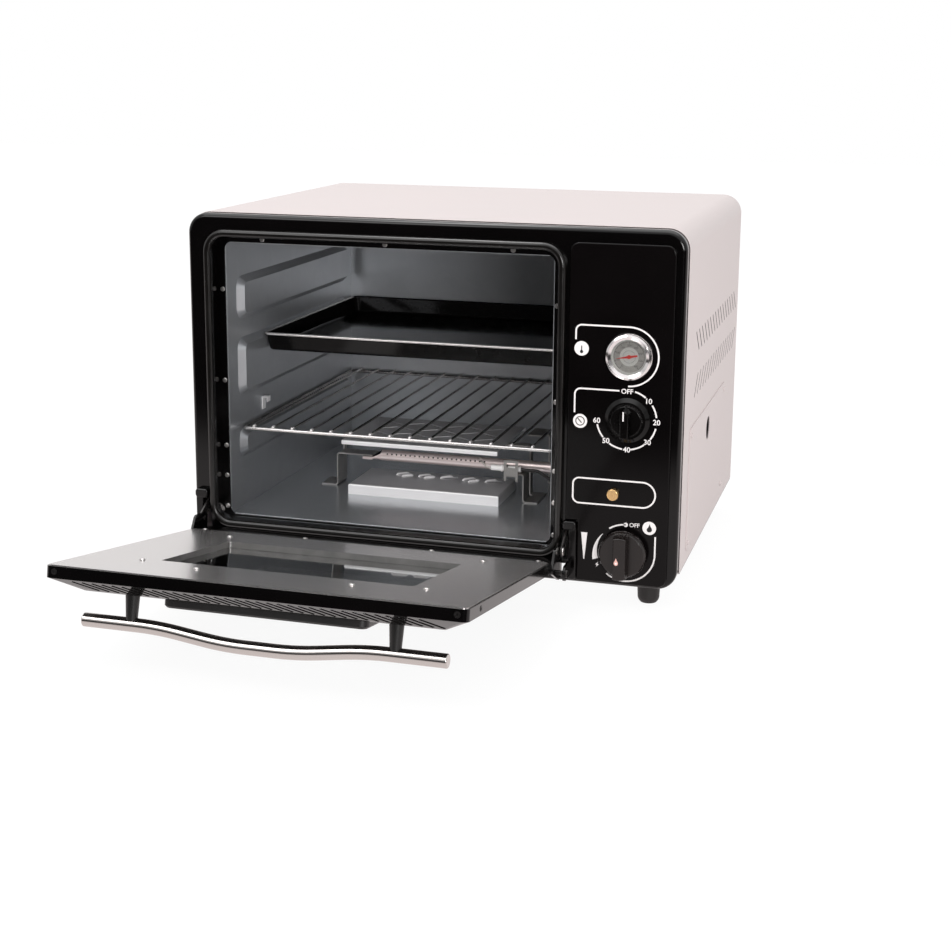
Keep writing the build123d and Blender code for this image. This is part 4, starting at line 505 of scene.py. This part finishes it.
# painted highlight on the tray's rim
paint_where("baking_tray", "tray_rim", on_tray_rim)
# painted shade on the walls of the casing's louvres
paint_where("outer_wrap", "slot_shade", in_casing_slot)
paint_where("case_screws", "casing", on_right_side)
# painted shade in the burner tube's bore and ports
paint_where("burner_tube", "painted_shade", in_burner)
# painted highlight on the front lips of the burner cover and heat spreader
paint_where("burner_cover", "bright", front_lip(COVER_LIP))
paint_where("heat_spreader", "bright", front_lip(SPREADER_LIP))
# painted highlight on the rack's front rod
paint_where("wire_rack", "rack_front", on_rack_front)


# ---------------------------------------------------------------- camera
CAMERA_PLACE = mm(504.0, -1573.0, 561.0)
YAW = math.radians(16.47)
PITCH = math.radians(12.07)
ROLL = math.radians(0.36)
PHOTO_WIDTH = 951.0        # the camera was fitted to a square picture of this many pixels
FOCAL_LENGTH = 1621.0      # pixels
CENTRE_ACROSS = 462.0      # where the camera's axis meets the picture
CENTRE_DOWN = 397.0
SENSOR_WIDTH = 36.0        # mm, as Blender counts its lenses


def make_camera():
    ahead = Vector((-math.sin(YAW) * math.cos(PITCH), math.cos(YAW) * math.cos(PITCH), -math.sin(PITCH)))
    level = Vector((math.cos(YAW), math.sin(YAW), 0.0))
    upright = level.cross(ahead)
    right = level * math.cos(ROLL) + upright * math.sin(ROLL)
    up = -level * math.sin(ROLL) + upright * math.cos(ROLL)
    data = bpy.data.cameras.new("camera")
    camera = bpy.data.objects.new("camera", data)
    scene.collection.objects.link(camera)
    rows = [(right[i], up[i], -ahead[i], CAMERA_PLACE[i]) for i in range(3)]
    camera.matrix_world = Matrix((*rows, (0, 0, 0, 1)))
    data.sensor_width = SENSOR_WIDTH
    data.sensor_fit = "HORIZONTAL"
    data.lens = FOCAL_LENGTH * SENSOR_WIDTH / PHOTO_WIDTH
    data.shift_x = (PHOTO_WIDTH / 2 - CENTRE_ACROSS) / PHOTO_WIDTH
    data.shift_y = (CENTRE_DOWN - PHOTO_WIDTH / 2) / PHOTO_WIDTH
    data.clip_start = 0.05
    data.clip_end = 50
    scene.camera = camera


make_camera()


# ---------------------------------------------------------------- pieces and prints
def piece(name, verts, faces, material, body, smooth=False):
    """A mesh of the scene's own that rides on one body."""
    me = bpy.data.meshes.new(name)
    me.from_pydata(verts, [], faces)
    me.validate()
    me.materials.append(MAT[material])
    if smooth:
        me.shade_smooth()
    o = bpy.data.objects.new(name, me)
    scene.collection.objects.link(o)
    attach(o, body)
    return o


class Print:
    """Flat inked shapes in one plane, gathered into one mesh. Points are (across, up) in mm."""

    def __init__(self, place):
        self.place = place
        self.verts = []
        self.faces = []

    def polygon(self, points):
        start = len(self.verts)
        self.verts += [self.place(a, b) for a, b in points]
        self.faces.append(tuple(range(start, start + len(points))))

    def ribbon(self, left, right):
        for i in range(len(left) - 1):
            self.polygon([left[i], left[i + 1], right[i + 1], right[i]])

    def stroke(self, points, width):
        """A line of even width with mitred corners."""
        pts = [Vector(p) for p in points]
        pts = [p for i, p in enumerate(pts) if not i or (p - pts[i - 1]).length > 1e-4]
        left, right = [], []
        for i, p in enumerate(pts):
            before = (p - pts[i - 1]).normalized() if i else None
            after = (pts[i + 1] - p).normalized() if i < len(pts) - 1 else None
            way = before if after is None else after if before is None else (before + after).normalized()
            side = Vector((-way.y, way.x))
            if before is not None and after is not None:
                side /= max(0.4, side.dot(Vector((-after.y, after.x))))
            left.append(tuple(p + side * width / 2))
            right.append(tuple(p - side * width / 2))
        self.ribbon(left, right)

    def arc(self, cx, cz, inner, outer, a0, a1, outer_end=None):
        """A band of a circle from a0 to a1 degrees; outer_end lets it widen on the way."""
        n = max(6, int(abs(a1 - a0) / 4))
        ends = outer if outer_end is None else outer_end
        left, right = [], []
        for i in range(n + 1):
            a = math.radians(a0 + (a1 - a0) * i / n)
            far = outer + (ends - outer) * i / n
            left.append((cx + inner * math.cos(a), cz + inner * math.sin(a)))
            right.append((cx + far * math.cos(a), cz + far * math.sin(a)))
        self.ribbon(left, right)

    def line_arc(self, cx, cz, radius, a0, a1):
        self.arc(cx, cz, radius - LINE / 2, radius + LINE / 2, a0, a1)

    def disc(self, cx, cz, radius, n=40):
        turns = [2 * math.pi * i / n for i in range(n)]
        self.polygon([(cx + radius * math.cos(t), cz + radius * math.sin(t)) for t in turns])

    def text(self, words, cx, cz, cap, bold=0.0):
        """Plain lettering of height cap, set with its middle at (cx, cz)."""
        curve = bpy.data.curves.new("lettering", "FONT")
        curve.body = words
        curve.size = 1.0
        curve.align_x = "CENTER"
        curve.align_y = "CENTER"
        curve.offset = bold
        curve.resolution_u = 3
        holder = bpy.data.objects.new("lettering", curve)
        me = bpy.data.meshes.new_from_object(holder)
        points = [v.co for v in me.vertices]
        xs = [p.x for p in points]
        ys = [p.y for p in points]
        k = cap / (max(ys) - min(ys))
        mx = (max(xs) + min(xs)) / 2
        my = (max(ys) + min(ys)) / 2
        start = len(self.verts)
        self.verts += [self.place(cx + (p.x - mx) * k, cz + (p.y - my) * k) for p in points]
        self.faces += [tuple(start + i for i in p.vertices) for p in me.polygons]
        bpy.data.objects.remove(holder)
        bpy.data.curves.remove(curve)
        bpy.data.meshes.remove(me)

    def build(self, name, material, body):
        return piece(name, self.verts, self.faces, material, body)


def corner(cx, cz, radius, a0, a1, n=8):
    """Points round a corner from a0 to a1 degrees."""
    turns = [math.radians(a0 + (a1 - a0) * i / n) for i in range(n + 1)]
    return [(cx + radius * math.cos(t), cz + radius * math.sin(t)) for t in turns]


FLAME = [(0.0, -0.5), (0.22, -0.44), (0.34, -0.25), (0.31, -0.02), (0.18, 0.16), (0.10, 0.30), (0.06, 0.5),
         (-0.04, 0.34), (-0.08, 0.18), (-0.20, 0.02), (-0.31, -0.18), (-0.26, -0.38), (-0.12, -0.48)]


def flame(cx, cz, h):
    """A plain flame outline of height h."""
    return [(cx + a * h, cz + b * h) for a, b in FLAME]


# Prints on the fascia: their heights are measured from the frame's lower edge.
LINE = 1.65                # width of the printed lines
INK = 0.05                 # the ink stands this far before the panel
MARK = 0.09                # and the black marks on it this far
ICON_X = 165.0             # middle of the icons at the left
FIELD_LEFT = 159.0         # left end of the fields' outlines
FIELD_CORNER = 6.0
FINE_LINE = 1.1            # lines within the icons
BOLD = 0.02                # the lettering's outlines grow by this share of its size


def thermometer_field(ink, dark):
    """A thermometer icon, and a line from above it round the right side of the dial."""
    icon_z, icon_radius = 247.4, 7.4
    bulb_z, bulb_radius = 244.2, 1.7
    stem_low, stem_top = 244.5, 250.2
    foot = 256.4
    ring_x, ring_z, ring_radius = 213.2, 241.5, 30.0
    ink.disc(ICON_X, icon_z, icon_radius)
    dark.disc(ICON_X, bulb_z, bulb_radius, 20)
    dark.stroke([(ICON_X, stem_low), (ICON_X, stem_top)], FINE_LINE)
    top = ring_z + ring_radius
    turn = corner(ICON_X, top - FIELD_CORNER, FIELD_CORNER, 180, 90)
    ink.stroke([(FIELD_LEFT, foot)] + turn + [(ring_x, top)], LINE)
    ink.line_arc(ring_x, ring_z, ring_radius, 90, -90)


def timer_field(ink, dark):
    """A clock icon with its line, and a ring of plain numbers round the timer knob."""
    icon_z, icon_radius = 172.8, 7.3
    clock_inner, clock_outer = 3.9, 4.9
    foot, top, line_end = 181.4, 206.5, 204.6
    ring_x, ring_z, ring_radius = 212.6, 176.9, 30.5
    off_x, off_z, off_height = 212.5, 206.3, 5.2
    first_number, number_step, number_height = 43.0, 43.8, 5.6
    ring_lines = ((75, 52), (33, 8), (-13, -37), (-53, -82), (-97, -124), (-141, -168))
    ink.text("OFF", off_x, off_z, off_height, BOLD)
    turn = corner(ICON_X, top - FIELD_CORNER, FIELD_CORNER, 90, 180)
    ink.stroke([(line_end, top)] + turn + [(FIELD_LEFT, foot)], LINE)
    ink.disc(ICON_X, icon_z, icon_radius)
    dark.arc(ICON_X, icon_z, clock_inner, clock_outer, 0, 360)
    dark.stroke([(162.6, 175.4), (166.6, 171.0)], FINE_LINE)
    for i in range(6):
        a = math.radians(first_number - number_step * i)
        across = ring_x + ring_radius * math.cos(a)
        rise = ring_z + ring_radius * math.sin(a)
        ink.text(str(10 * (i + 1)), across, rise, number_height, BOLD)
    for a0, a1 in ring_lines:
        ink.line_arc(ring_x, ring_z, ring_radius, a0, a1)


def button_field(ink):
    """A closed line round the button, with a half round at its right end."""
    low, high, left, corner_radius = 87.0, 113.5, 165.5, 6.5
    right, middle, end_radius = 230.75, 100.25, 13.25
    line_start, line_end = 168.0, 168.2
    ink.stroke([(line_start, high), (right, high)] + corner(right, middle, end_radius, 90, -90, 20)
               + [(left, low)] + corner(left, low + corner_radius, corner_radius, 270, 180)
               + corner(left, high - corner_radius, corner_radius, 180, 90) + [(line_end, high)], LINE)


def gas_field(ink, dark):
    """A flame icon, a line round the gas knob, a spark and the two wedges of the flame scale."""
    ring_x, ring_z, ring_radius = 214.8, 38.3, 30.6
    inner_radius, wedge_inner, wedge_start, wedge_end = 29.4, 29.3, 29.8, 35.2
    dot_z, dot_radius = 67.7, 2.3
    off_x, off_z, off_height, off_bold = 223.8, 68.0, 4.4, 0.015
    flame_x, flame_z, flame_height, icon_radius = 239.0, 66.2, 8.6, 7.0
    spark = [(187.2, 26.0), (184.2, 22.6), (185.9, 22.6), (184.8, 19.8), (188.0, 23.4), (186.4, 23.4)]
    straight_wedge = [(168.7, 56.0), (175.2, 56.0), (172.5, 27.5), (171.6, 27.5)]
    ink.disc(ring_x, dot_z, dot_radius, 20)
    ink.text("OFF", off_x, off_z, off_height, off_bold)
    ink.disc(flame_x, flame_z, icon_radius)
    dark.polygon(flame(flame_x, flame_z, flame_height))
    right = ring_x + ring_radius
    ink.stroke([(right, 57.5), (right, 45.0), (right, ring_z)], LINE)
    ink.line_arc(ring_x, ring_z, ring_radius, 0, -128)
    ink.line_arc(ring_x, ring_z, inner_radius, 90, 125)
    ink.arc(ring_x, ring_z, wedge_inner, wedge_start, 143, 197, wedge_end)
    ink.polygon(spark)
    ink.polygon(straight_wedge)


def fascia_prints():
    ink = Print(lambda a, b: mm(a, FASCIA_Y - INK, b + FRAME_LIFT))
    dark = Print(lambda a, b: mm(a, FASCIA_Y - MARK, b + FRAME_LIFT))
    thermometer_field(ink, dark)
    timer_field(ink, dark)
    button_field(ink)
    gas_field(ink, dark)
    ink.build("fascia_prints", "white", "oven_body")
    dark.build("fascia_marks", "black_print", "oven_body")


DROP = ((0, 5.2), (0.9, 2.6), (2.0, 0.8), (2.3, -0.8), (1.6, -2.2), (0, -2.9), (-1.6, -2.2), (-2.3, -0.8),
        (-2.0, 0.8), (-0.9, 2.6))


def knob_marks():
    """A drop with a white core on the gas knob, and a pointer line on the timer knob that is partly a painted
    highlight.
    """
    gas_face, timer_face = -32.06, -24.86
    drop_x, drop_z = KNOB_X - 2.6, 57.2
    core_z, core_radius = 56.6, 1.1
    pointer_x, pointer_low, pointer_high, pointer_width = 212.9, 202.0, 211.5, 1.4
    drop = Print(lambda a, b: mm(a, gas_face, b))
    drop.polygon([(drop_x + a, drop_z + b) for a, b in DROP])
    drop.build("gas_knob_mark", "pink_print", "gas_turn")
    core = Print(lambda a, b: mm(a, gas_face - (MARK - INK), b))
    core.disc(drop_x, core_z, core_radius, 16)
    core.build("gas_knob_mark_core", "white", "gas_turn")
    # a white pointer line, partly a print and partly a painted highlight on the grip
    pointer = Print(lambda a, b: mm(a, timer_face, b))
    pointer.stroke([(pointer_x, pointer_low), (pointer_x, pointer_high)], pointer_width)
    pointer.build("timer_knob_mark", "white", "timer")


SCALE_START = 232          # degrees, at the dial's lower left
SCALE_SWEEP = 284
SCALE_RADIUS = 15.6
TICKS = 48
TICKS_PER_NUMBER = 6
DEGREES_PER_NUMBER = 50    # what the numbers count


def scale_tick(sheet, i):
    """A tick across the scale: longer and thicker where a number stands."""
    a = math.radians(SCALE_START - SCALE_SWEEP * i / TICKS)
    c, s = math.cos(a), math.sin(a)
    has_number = i % TICKS_PER_NUMBER == 0
    near = SCALE_RADIUS - (2.2 if has_number else 1.1)
    far = SCALE_RADIUS
    half = 0.22 if has_number else 0.13
    sheet.polygon([(near * c - half * s, near * s + half * c), (far * c - half * s, far * s + half * c),
                   (far * c + half * s, far * s - half * c), (near * c + half * s, near * s - half * c)])


def dial_prints():
    """A grey band that carries the ticks and plain numbers of the dial."""
    band_place, tick_place = 0.2, 0.15
    number_radius, number_height = 11.6, 2.0
    band = Print(lambda a, b: mm(KNOB_X + a, FASCIA_Y + band_place, THERMO_Z + b))
    band.arc(0, 0, 9.6, 15.9, 0, 360)
    band.build("dial_band", "dial_band", "oven_body")
    sheet = Print(lambda a, b: mm(KNOB_X + a, FASCIA_Y + tick_place, THERMO_Z + b))
    for i in range(TICKS + 1):
        scale_tick(sheet, i)
    sheet.arc(0, 0, 15.5, 15.75, SCALE_START, SCALE_START - SCALE_SWEEP)
    numbers = TICKS // TICKS_PER_NUMBER
    for i in range(numbers + 1):
        a = math.radians(SCALE_START - SCALE_SWEEP * i / numbers)
        words = str(DEGREES_PER_NUMBER * i)
        sheet.text(words, number_radius * math.cos(a), number_radius * math.sin(a), number_height)
    sheet.arc(0, 0, 6.2, 6.4, 0, 360)
    sheet.build("dial_prints", "grey_print", "oven_body")


fascia_prints()
knob_marks()
dial_prints()


# ---------------------------------------------------------------- louvre lips on the burner cover
COVER_LEFT = -135.5
COVER_TOP = 70.0
COVER_SLOTS = 5
COVER_SLOT_START = 50.0    # cover's left end to its first slot
COVER_SLOT_PITCH = 27.1
LIP_SHEET = 0.0004         # metres
LIP_TURN = 42              # degrees
LIP_STEPS = 12
LIP_PROFILE = ((0.0, 0.0), (0.15, 0.45), (0.45, 0.85), (0.9, 1.0), (1.5, 0.98))  # lean, share of the rise
LEFT_LIP = (-3.2, 187.6, 17.0, 2.4)    # place across from its slot, y, length and rise
RIGHT_LIP = (4.6, 181.4, 15.0, 2.2)
SLOTS_WITH_RIGHT_LIP = (0, 1, 3)


def louvre(name, slot_x, across, cy, length, rise):
    """A thin lip that leans out over its slot, higher in the middle than at its ends."""
    verts, faces = [], []
    cx = slot_x + across
    c, s = math.cos(math.radians(LIP_TURN)), math.sin(math.radians(LIP_TURN))
    for i in range(LIP_STEPS + 1):
        t = i / LIP_STEPS
        k = min(1.0, 5.0 * min(t, 1 - t) + 0.25)
        for lean, up in LIP_PROFILE:
            px = (t - 0.5) * length
            py = lean * k
            verts.append(mm(cx + px * c - py * s, cy + px * s + py * c, COVER_TOP + up * rise * k))
    m = len(LIP_PROFILE)
    for i in range(LIP_STEPS):
        for j in range(m - 1):
            faces.append((i * m + j, (i + 1) * m + j, (i + 1) * m + j + 1, i * m + j + 1))
    # the lips are real shapes; their bright sheet is a painted highlight
    o = piece(name, verts, faces, "bright", "oven_body", smooth=True)
    solid = o.modifiers.new("sheet", "SOLIDIFY")
    solid.thickness = LIP_SHEET
    solid.offset = 0.0


for i in range(COVER_SLOTS):
    slot_x = COVER_LEFT + COVER_SLOT_START + i * COVER_SLOT_PITCH
    louvre("louvre_hood_%d_left" % i, slot_x, *LEFT_LIP)
    if i in SLOTS_WITH_RIGHT_LIP:
        louvre("louvre_hood_%d_right" % i, slot_x, *RIGHT_LIP)


# ---------------------------------------------------------------- bright ends of the rack's cross wires
def turned(name, rings, at, axis, material, body, n):
    """A small turned shape: rings of (radius, rise) along one axis, with n sides."""
    axis = Vector(axis).normalized()
    a1 = axis.orthogonal().normalized()
    a2 = axis.cross(a1)
    verts, faces = [], []
    for radius, rise in rings:
        for i in range(n):
            t = 2 * math.pi * i / n
            verts.append(at + (a1 * math.cos(t) + a2 * math.sin(t)) * radius / 1000 + axis * rise / 1000)
    for j in range(len(rings) - 1):
        for i in range(n):
            k = (i + 1) % n
            faces.append((j * n + i, j * n + k, (j + 1) * n + k, (j + 1) * n + i))
    faces.append(tuple(range((len(rings) - 1) * n, len(rings) * n)))
    return piece(name, verts, faces, material, body, True)


LINER_LEFT = -230.75
LINER_RIGHT = 130.75
RACK_SIDE_GAP = 3.0        # axis of the rack's side rods to the liner's wall
RACK_WIRES = 15
RACK_WIRE = 1.4            # radius
RACK_WIRE_FRONT = 42.5
FIRST_WIRE = 13.0          # left rod to the first wire
WIRE_MARGINS = 37.0        # left rod to the first wire and last wire to the right rod, together
WIRE_END = [(1.46, 5.0), (1.50, 0.6), (1.35, -0.15), (0.8, -0.45)]  # rings of (radius, rise)
WIRE_SIDES = 14
rack_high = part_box("wire_rack")[1]
wire_z = rack_high[2] * 1000 - RACK_WIRE
rack_left = LINER_LEFT + RACK_SIDE_GAP
rack_right = LINER_RIGHT - RACK_SIDE_GAP
wire_pitch = (rack_right - rack_left - WIRE_MARGINS) / (RACK_WIRES - 1)
# the weld ends are real shapes; their near-white tone is a painted highlight
for i in range(RACK_WIRES):
    at = mm(rack_left + FIRST_WIRE + i * wire_pitch, RACK_WIRE_FRONT, wire_z)
    turned("rack_wire_end_%02d" % i, WIRE_END, at, (0, 1, 0), "rack_end", "rack", WIRE_SIDES)


# ---------------------------------------------------------------- small screws
# A screw head's rings: share of the radius, rise in mm, and whether the ring is a hexagon.
SCREW_RINGS = ((1.0, 0.02, False), (0.95, 0.45, False), (0.6, 0.5, False),
               (0.5, 0.42, True), (0.46, 0.06, True))
SCREW_SIDES = 24


def hex_screw(name, at, axis, radius, body):
    """A flush screw head with a recessed hexagon."""
    axis = Vector(axis).normalized()
    a1 = axis.orthogonal().normalized()
    a2 = axis.cross(a1)
    verts, faces = [], []
    n = SCREW_SIDES

    def ring(rad, rise, hexagon):
        start = len(verts)
        for i in range(n):
            t = 2 * math.pi * i / n
            k = 1.0
            if hexagon:
                w = (t % (math.pi / 3)) - math.pi / 6
                k = math.cos(math.pi / 6) / math.cos(w)
            out = (a1 * math.cos(t) + a2 * math.sin(t)) * rad * k / 1000
            verts.append(at + out + axis * rise / 1000)
        return start

    rows = [ring(radius * share, rise, hexagon) for share, rise, hexagon in SCREW_RINGS]
    for a, b in zip(rows, rows[1:]):
        for i in range(n):
            k = (i + 1) % n
            faces.append((a + i, a + k, b + k, b + i))
    faces.append(tuple(range(rows[-1], rows[-1] + n)))
    piece(name, verts, faces, "screw_dark", body)


DOOR_HALF = 198.0
EDGE_SCREW_X = 188.5       # from the door's middle to the screws in its free edge
EDGE_SCREW_RADIUS = 3.0
SIDE_SCREW_OUT = 291.0     # from the hinge to the screws in its sides
SIDE_SCREW_RADIUS = 2.6
SCREW_RISE = 8.0           # the screws' height on the door's edge
edge_out = Vector((0, -math.cos(TILT), math.sin(TILT)))
for side, way in (("left", -1), ("right", 1)):
    at = door_point(way * EDGE_SCREW_X, DOOR_TOP, SCREW_RISE)
    hex_screw("door_edge_screw_" + side, at, edge_out, EDGE_SCREW_RADIUS, "door")
for side, way in (("left", -1), ("right", 1)):
    at = door_point(way * DOOR_HALF, SIDE_SCREW_OUT, SCREW_RISE)
    hex_screw("door_side_screw_" + side, at, Vector((way, 0, 0)), SIDE_SCREW_RADIUS, "door")


# ---------------------------------------------------------------- springs
TURN_STEPS = 36            # steps in one turn of a coil
WIRE_STEPS = 10            # and round its wire


def spring(node, wire, turns):
    """A coil in the place of a CAD spring."""
    low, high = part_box(node)
    cx = (low[0] + high[0]) / 2
    cz = (low[2] + high[2]) / 2
    radius = (high[0] - low[0]) / 2 - wire
    length = high[1] - low[1]
    steps = TURN_STEPS * turns
    sides = WIRE_STEPS
    verts, faces = [], []
    for i in range(steps + 1):
        a = 2 * math.pi * turns * i / steps
        y = low[1] + wire + (length - 2 * wire) * i / steps
        for j in range(sides):
            b = 2 * math.pi * j / sides
            reach = radius + wire * math.cos(b)
            verts.append(Vector((cx + reach * math.cos(a), y + wire * math.sin(b), cz + reach * math.sin(a))))
    for i in range(steps):
        for j in range(sides):
            k = (j + 1) % sides
            faces.append((i * sides + j, i * sides + k, (i + 1) * sides + k, (i + 1) * sides + j))
    faces.append(tuple(range(sides - 1, -1, -1)))
    faces.append(tuple(range(steps * sides, (steps + 1) * sides)))
    o = piece(node + "_coil", verts, faces, "wire", "oven_body", smooth=True)
    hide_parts(node)
    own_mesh(o)


spring("gas_return_spring", 0.0006, 4)
spring("button_spring", 0.0005, 5)


# ---------------------------------------------------------------- floor, world and lamps
# What mirrors see, each as (from, to, strength at from, strength at to).
FLOOR_MIRRORED = (-0.78, -0.44, 0.04, 0.95)    # by place, from in front to behind, metres
ABOVE = (0.10, 0.55, 0.05, 1.05)               # by the ray's rise
OVERHEAD = (0.72, 0.94, 0.0, 2.2)              # and a bright ceiling on top of that
BEHIND = (-0.05, 0.25, 0.0, 0.95)              # by how far the ray runs to the back
ASIDE = (0.55, 0.95, 0.0, 0.75)                # by how far it runs to either side
DAYLIGHT = (-0.2, 0.9, 0.80, 0.92)             # what lights everything else, by the ray's rise
FLOOR_SIZE = 14.0
FLOOR_TONE = 0.80          # what the floor gives back of the light that falls on it
FLOOR_SEEN = 0.85          # share of plain white in what the camera sees of the floor
FLOOR_WHITE = 1.08
MIRRORED_TINT = (1.0, 0.93, 0.92, 1)

scene.view_settings.view_transform = "Standard"


def mathn(nt, op, a, b=None):
    """A math node: a and b are numbers or sockets."""
    n = nt.nodes.new("ShaderNodeMath")
    n.operation = op
    for i, v in enumerate((a, b)):
        if v is None:
            continue
        if isinstance(v, (int, float)):
            n.inputs[i].default_value = v
        else:
            nt.links.new(v, n.inputs[i])
    return n.outputs[0]


def smooth_map(nt, value, a, b, low, high):
    """Maps a value from a..b to low..high with soft ends."""
    n = nt.nodes.new("ShaderNodeMapRange")
    n.interpolation_type = "SMOOTHSTEP"
    n.inputs["From Min"].default_value = a
    n.inputs["From Max"].default_value = b
    n.inputs["To Min"].default_value = low
    n.inputs["To Max"].default_value = high
    nt.links.new(value, n.inputs["Value"])
    return n.outputs["Result"]


def mixed_shader(nt, fac, first, second):
    mix = nt.nodes.new("ShaderNodeMixShader")
    nt.links.new(fac, mix.inputs["Fac"])
    nt.links.new(first, mix.inputs[1])
    nt.links.new(second, mix.inputs[2])
    return mix.outputs[0]


def floor_material():
    """Pale for the light on it and white for the camera; what mirrors see of it darkens far out in front."""
    m, nt, b = new_material("floor_white")
    b.inputs["Base Color"].default_value = (FLOOR_TONE, FLOOR_TONE, FLOOR_TONE, 1)
    b.inputs["Roughness"].default_value = 0.9
    b.inputs["Specular IOR Level"].default_value = 0.0
    ray = nt.nodes.new("ShaderNodeLightPath")
    tc = nt.nodes.new("ShaderNodeTexCoord")
    place = nt.nodes.new("ShaderNodeSeparateXYZ")
    nt.links.new(tc.outputs["Object"], place.inputs["Vector"])
    seen = nt.nodes.new("ShaderNodeEmission")
    seen.inputs["Color"].default_value = (1, 1, 1, 1)
    seen.inputs["Strength"].default_value = FLOOR_WHITE
    mirrored = nt.nodes.new("ShaderNodeEmission")
    mirrored.inputs["Color"].default_value = MIRRORED_TINT
    nt.links.new(smooth_map(nt, place.outputs["Y"], *FLOOR_MIRRORED), mirrored.inputs["Strength"])
    for_camera = mathn(nt, "MULTIPLY", ray.outputs["Is Camera Ray"], FLOOR_SEEN)
    direct = mixed_shader(nt, for_camera, b.outputs[0], seen.outputs[0])
    whole = mixed_shader(nt, ray.outputs["Is Glossy Ray"], direct, mirrored.outputs[0])
    nt.links.new(whole, nt.nodes["Material Output"].inputs["Surface"])
    return m


def make_floor():
    me = bpy.data.meshes.new("floor")
    s = FLOOR_SIZE / 2
    me.from_pydata([(-s, -s, 0.0), (s, -s, 0.0), (s, s, 0.0), (-s, s, 0.0)], [], [(0, 1, 2, 3)])
    me.materials.append(floor_material())
    o = bpy.data.objects.new("floor", me)
    scene.collection.objects.link(o)


def blend(nt, share, first, second):
    """first where share is 1, second where it is 0."""
    rest = mathn(nt, "SUBTRACT", 1.0, share)
    return mathn(nt, "ADD", mathn(nt, "MULTIPLY", first, share), mathn(nt, "MULTIPLY", second, rest))


def make_world():
    """White for the camera, a soft sky for matte surfaces, and bright and dark zones for glossy ones."""
    world = bpy.data.worlds.new("world")
    scene.world = world
    world.use_nodes = True
    nt = world.node_tree
    for n in list(nt.nodes):
        nt.nodes.remove(n)
    out = nt.nodes.new("ShaderNodeOutputWorld")
    background = nt.nodes.new("ShaderNodeBackground")
    background.inputs["Color"].default_value = (1.0, 1.0, 1.0, 1)
    ray = nt.nodes.new("ShaderNodeLightPath")
    tc = nt.nodes.new("ShaderNodeTexCoord")
    way = nt.nodes.new("ShaderNodeSeparateXYZ")
    nt.links.new(tc.outputs["Generated"], way.inputs["Vector"])
    above = smooth_map(nt, way.outputs["Z"], *ABOVE)
    overhead = smooth_map(nt, way.outputs["Z"], *OVERHEAD)
    behind = smooth_map(nt, way.outputs["Y"], *BEHIND)
    aside = smooth_map(nt, mathn(nt, "ABSOLUTE", way.outputs["X"]), *ASIDE)
    zones = mathn(nt, "MAXIMUM", above, mathn(nt, "MAXIMUM", behind, aside))
    glossy = mathn(nt, "ADD", overhead, zones)
    soft = smooth_map(nt, way.outputs["Z"], *DAYLIGHT)
    light = blend(nt, ray.outputs["Is Glossy Ray"], glossy, soft)
    strength = blend(nt, ray.outputs["Is Camera Ray"], 1.0, light)
    nt.links.new(strength, background.inputs["Strength"])
    nt.links.new(background.outputs[0], out.inputs["Surface"])
    if hasattr(world, "cycles"):
        world.cycles.sampling_method = "NONE"


def lamp(name, loc, target, size, power, colour):
    data = bpy.data.lights.new(name, "AREA")
    data.shape = "RECTANGLE"
    data.size = size[0]
    data.size_y = size[1]
    data.energy = power
    data.color = colour
    o = bpy.data.objects.new(name, data)
    scene.collection.objects.link(o)
    o.location = loc
    o.rotation_euler = (Vector(target) - Vector(loc)).to_track_quat("-Z", "Y").to_euler()


make_floor()
make_world()
lamp("key_top", (-0.5, 0.2, 2.3), (0, 0.1, 0.2), (1.5, 0.32), 9, (1.0, 0.985, 0.98))
lamp("front_high", (-0.9, -1.6, 1.5), (0, 0, 0.15), (1.0, 0.9), 8, (1.0, 0.98, 0.975))
lamp("front_right", (1.1, -1.9, 0.55), (-0.2, 0.1, 0.25), (0.7, 0.5), 16, (1.0, 0.985, 0.98))
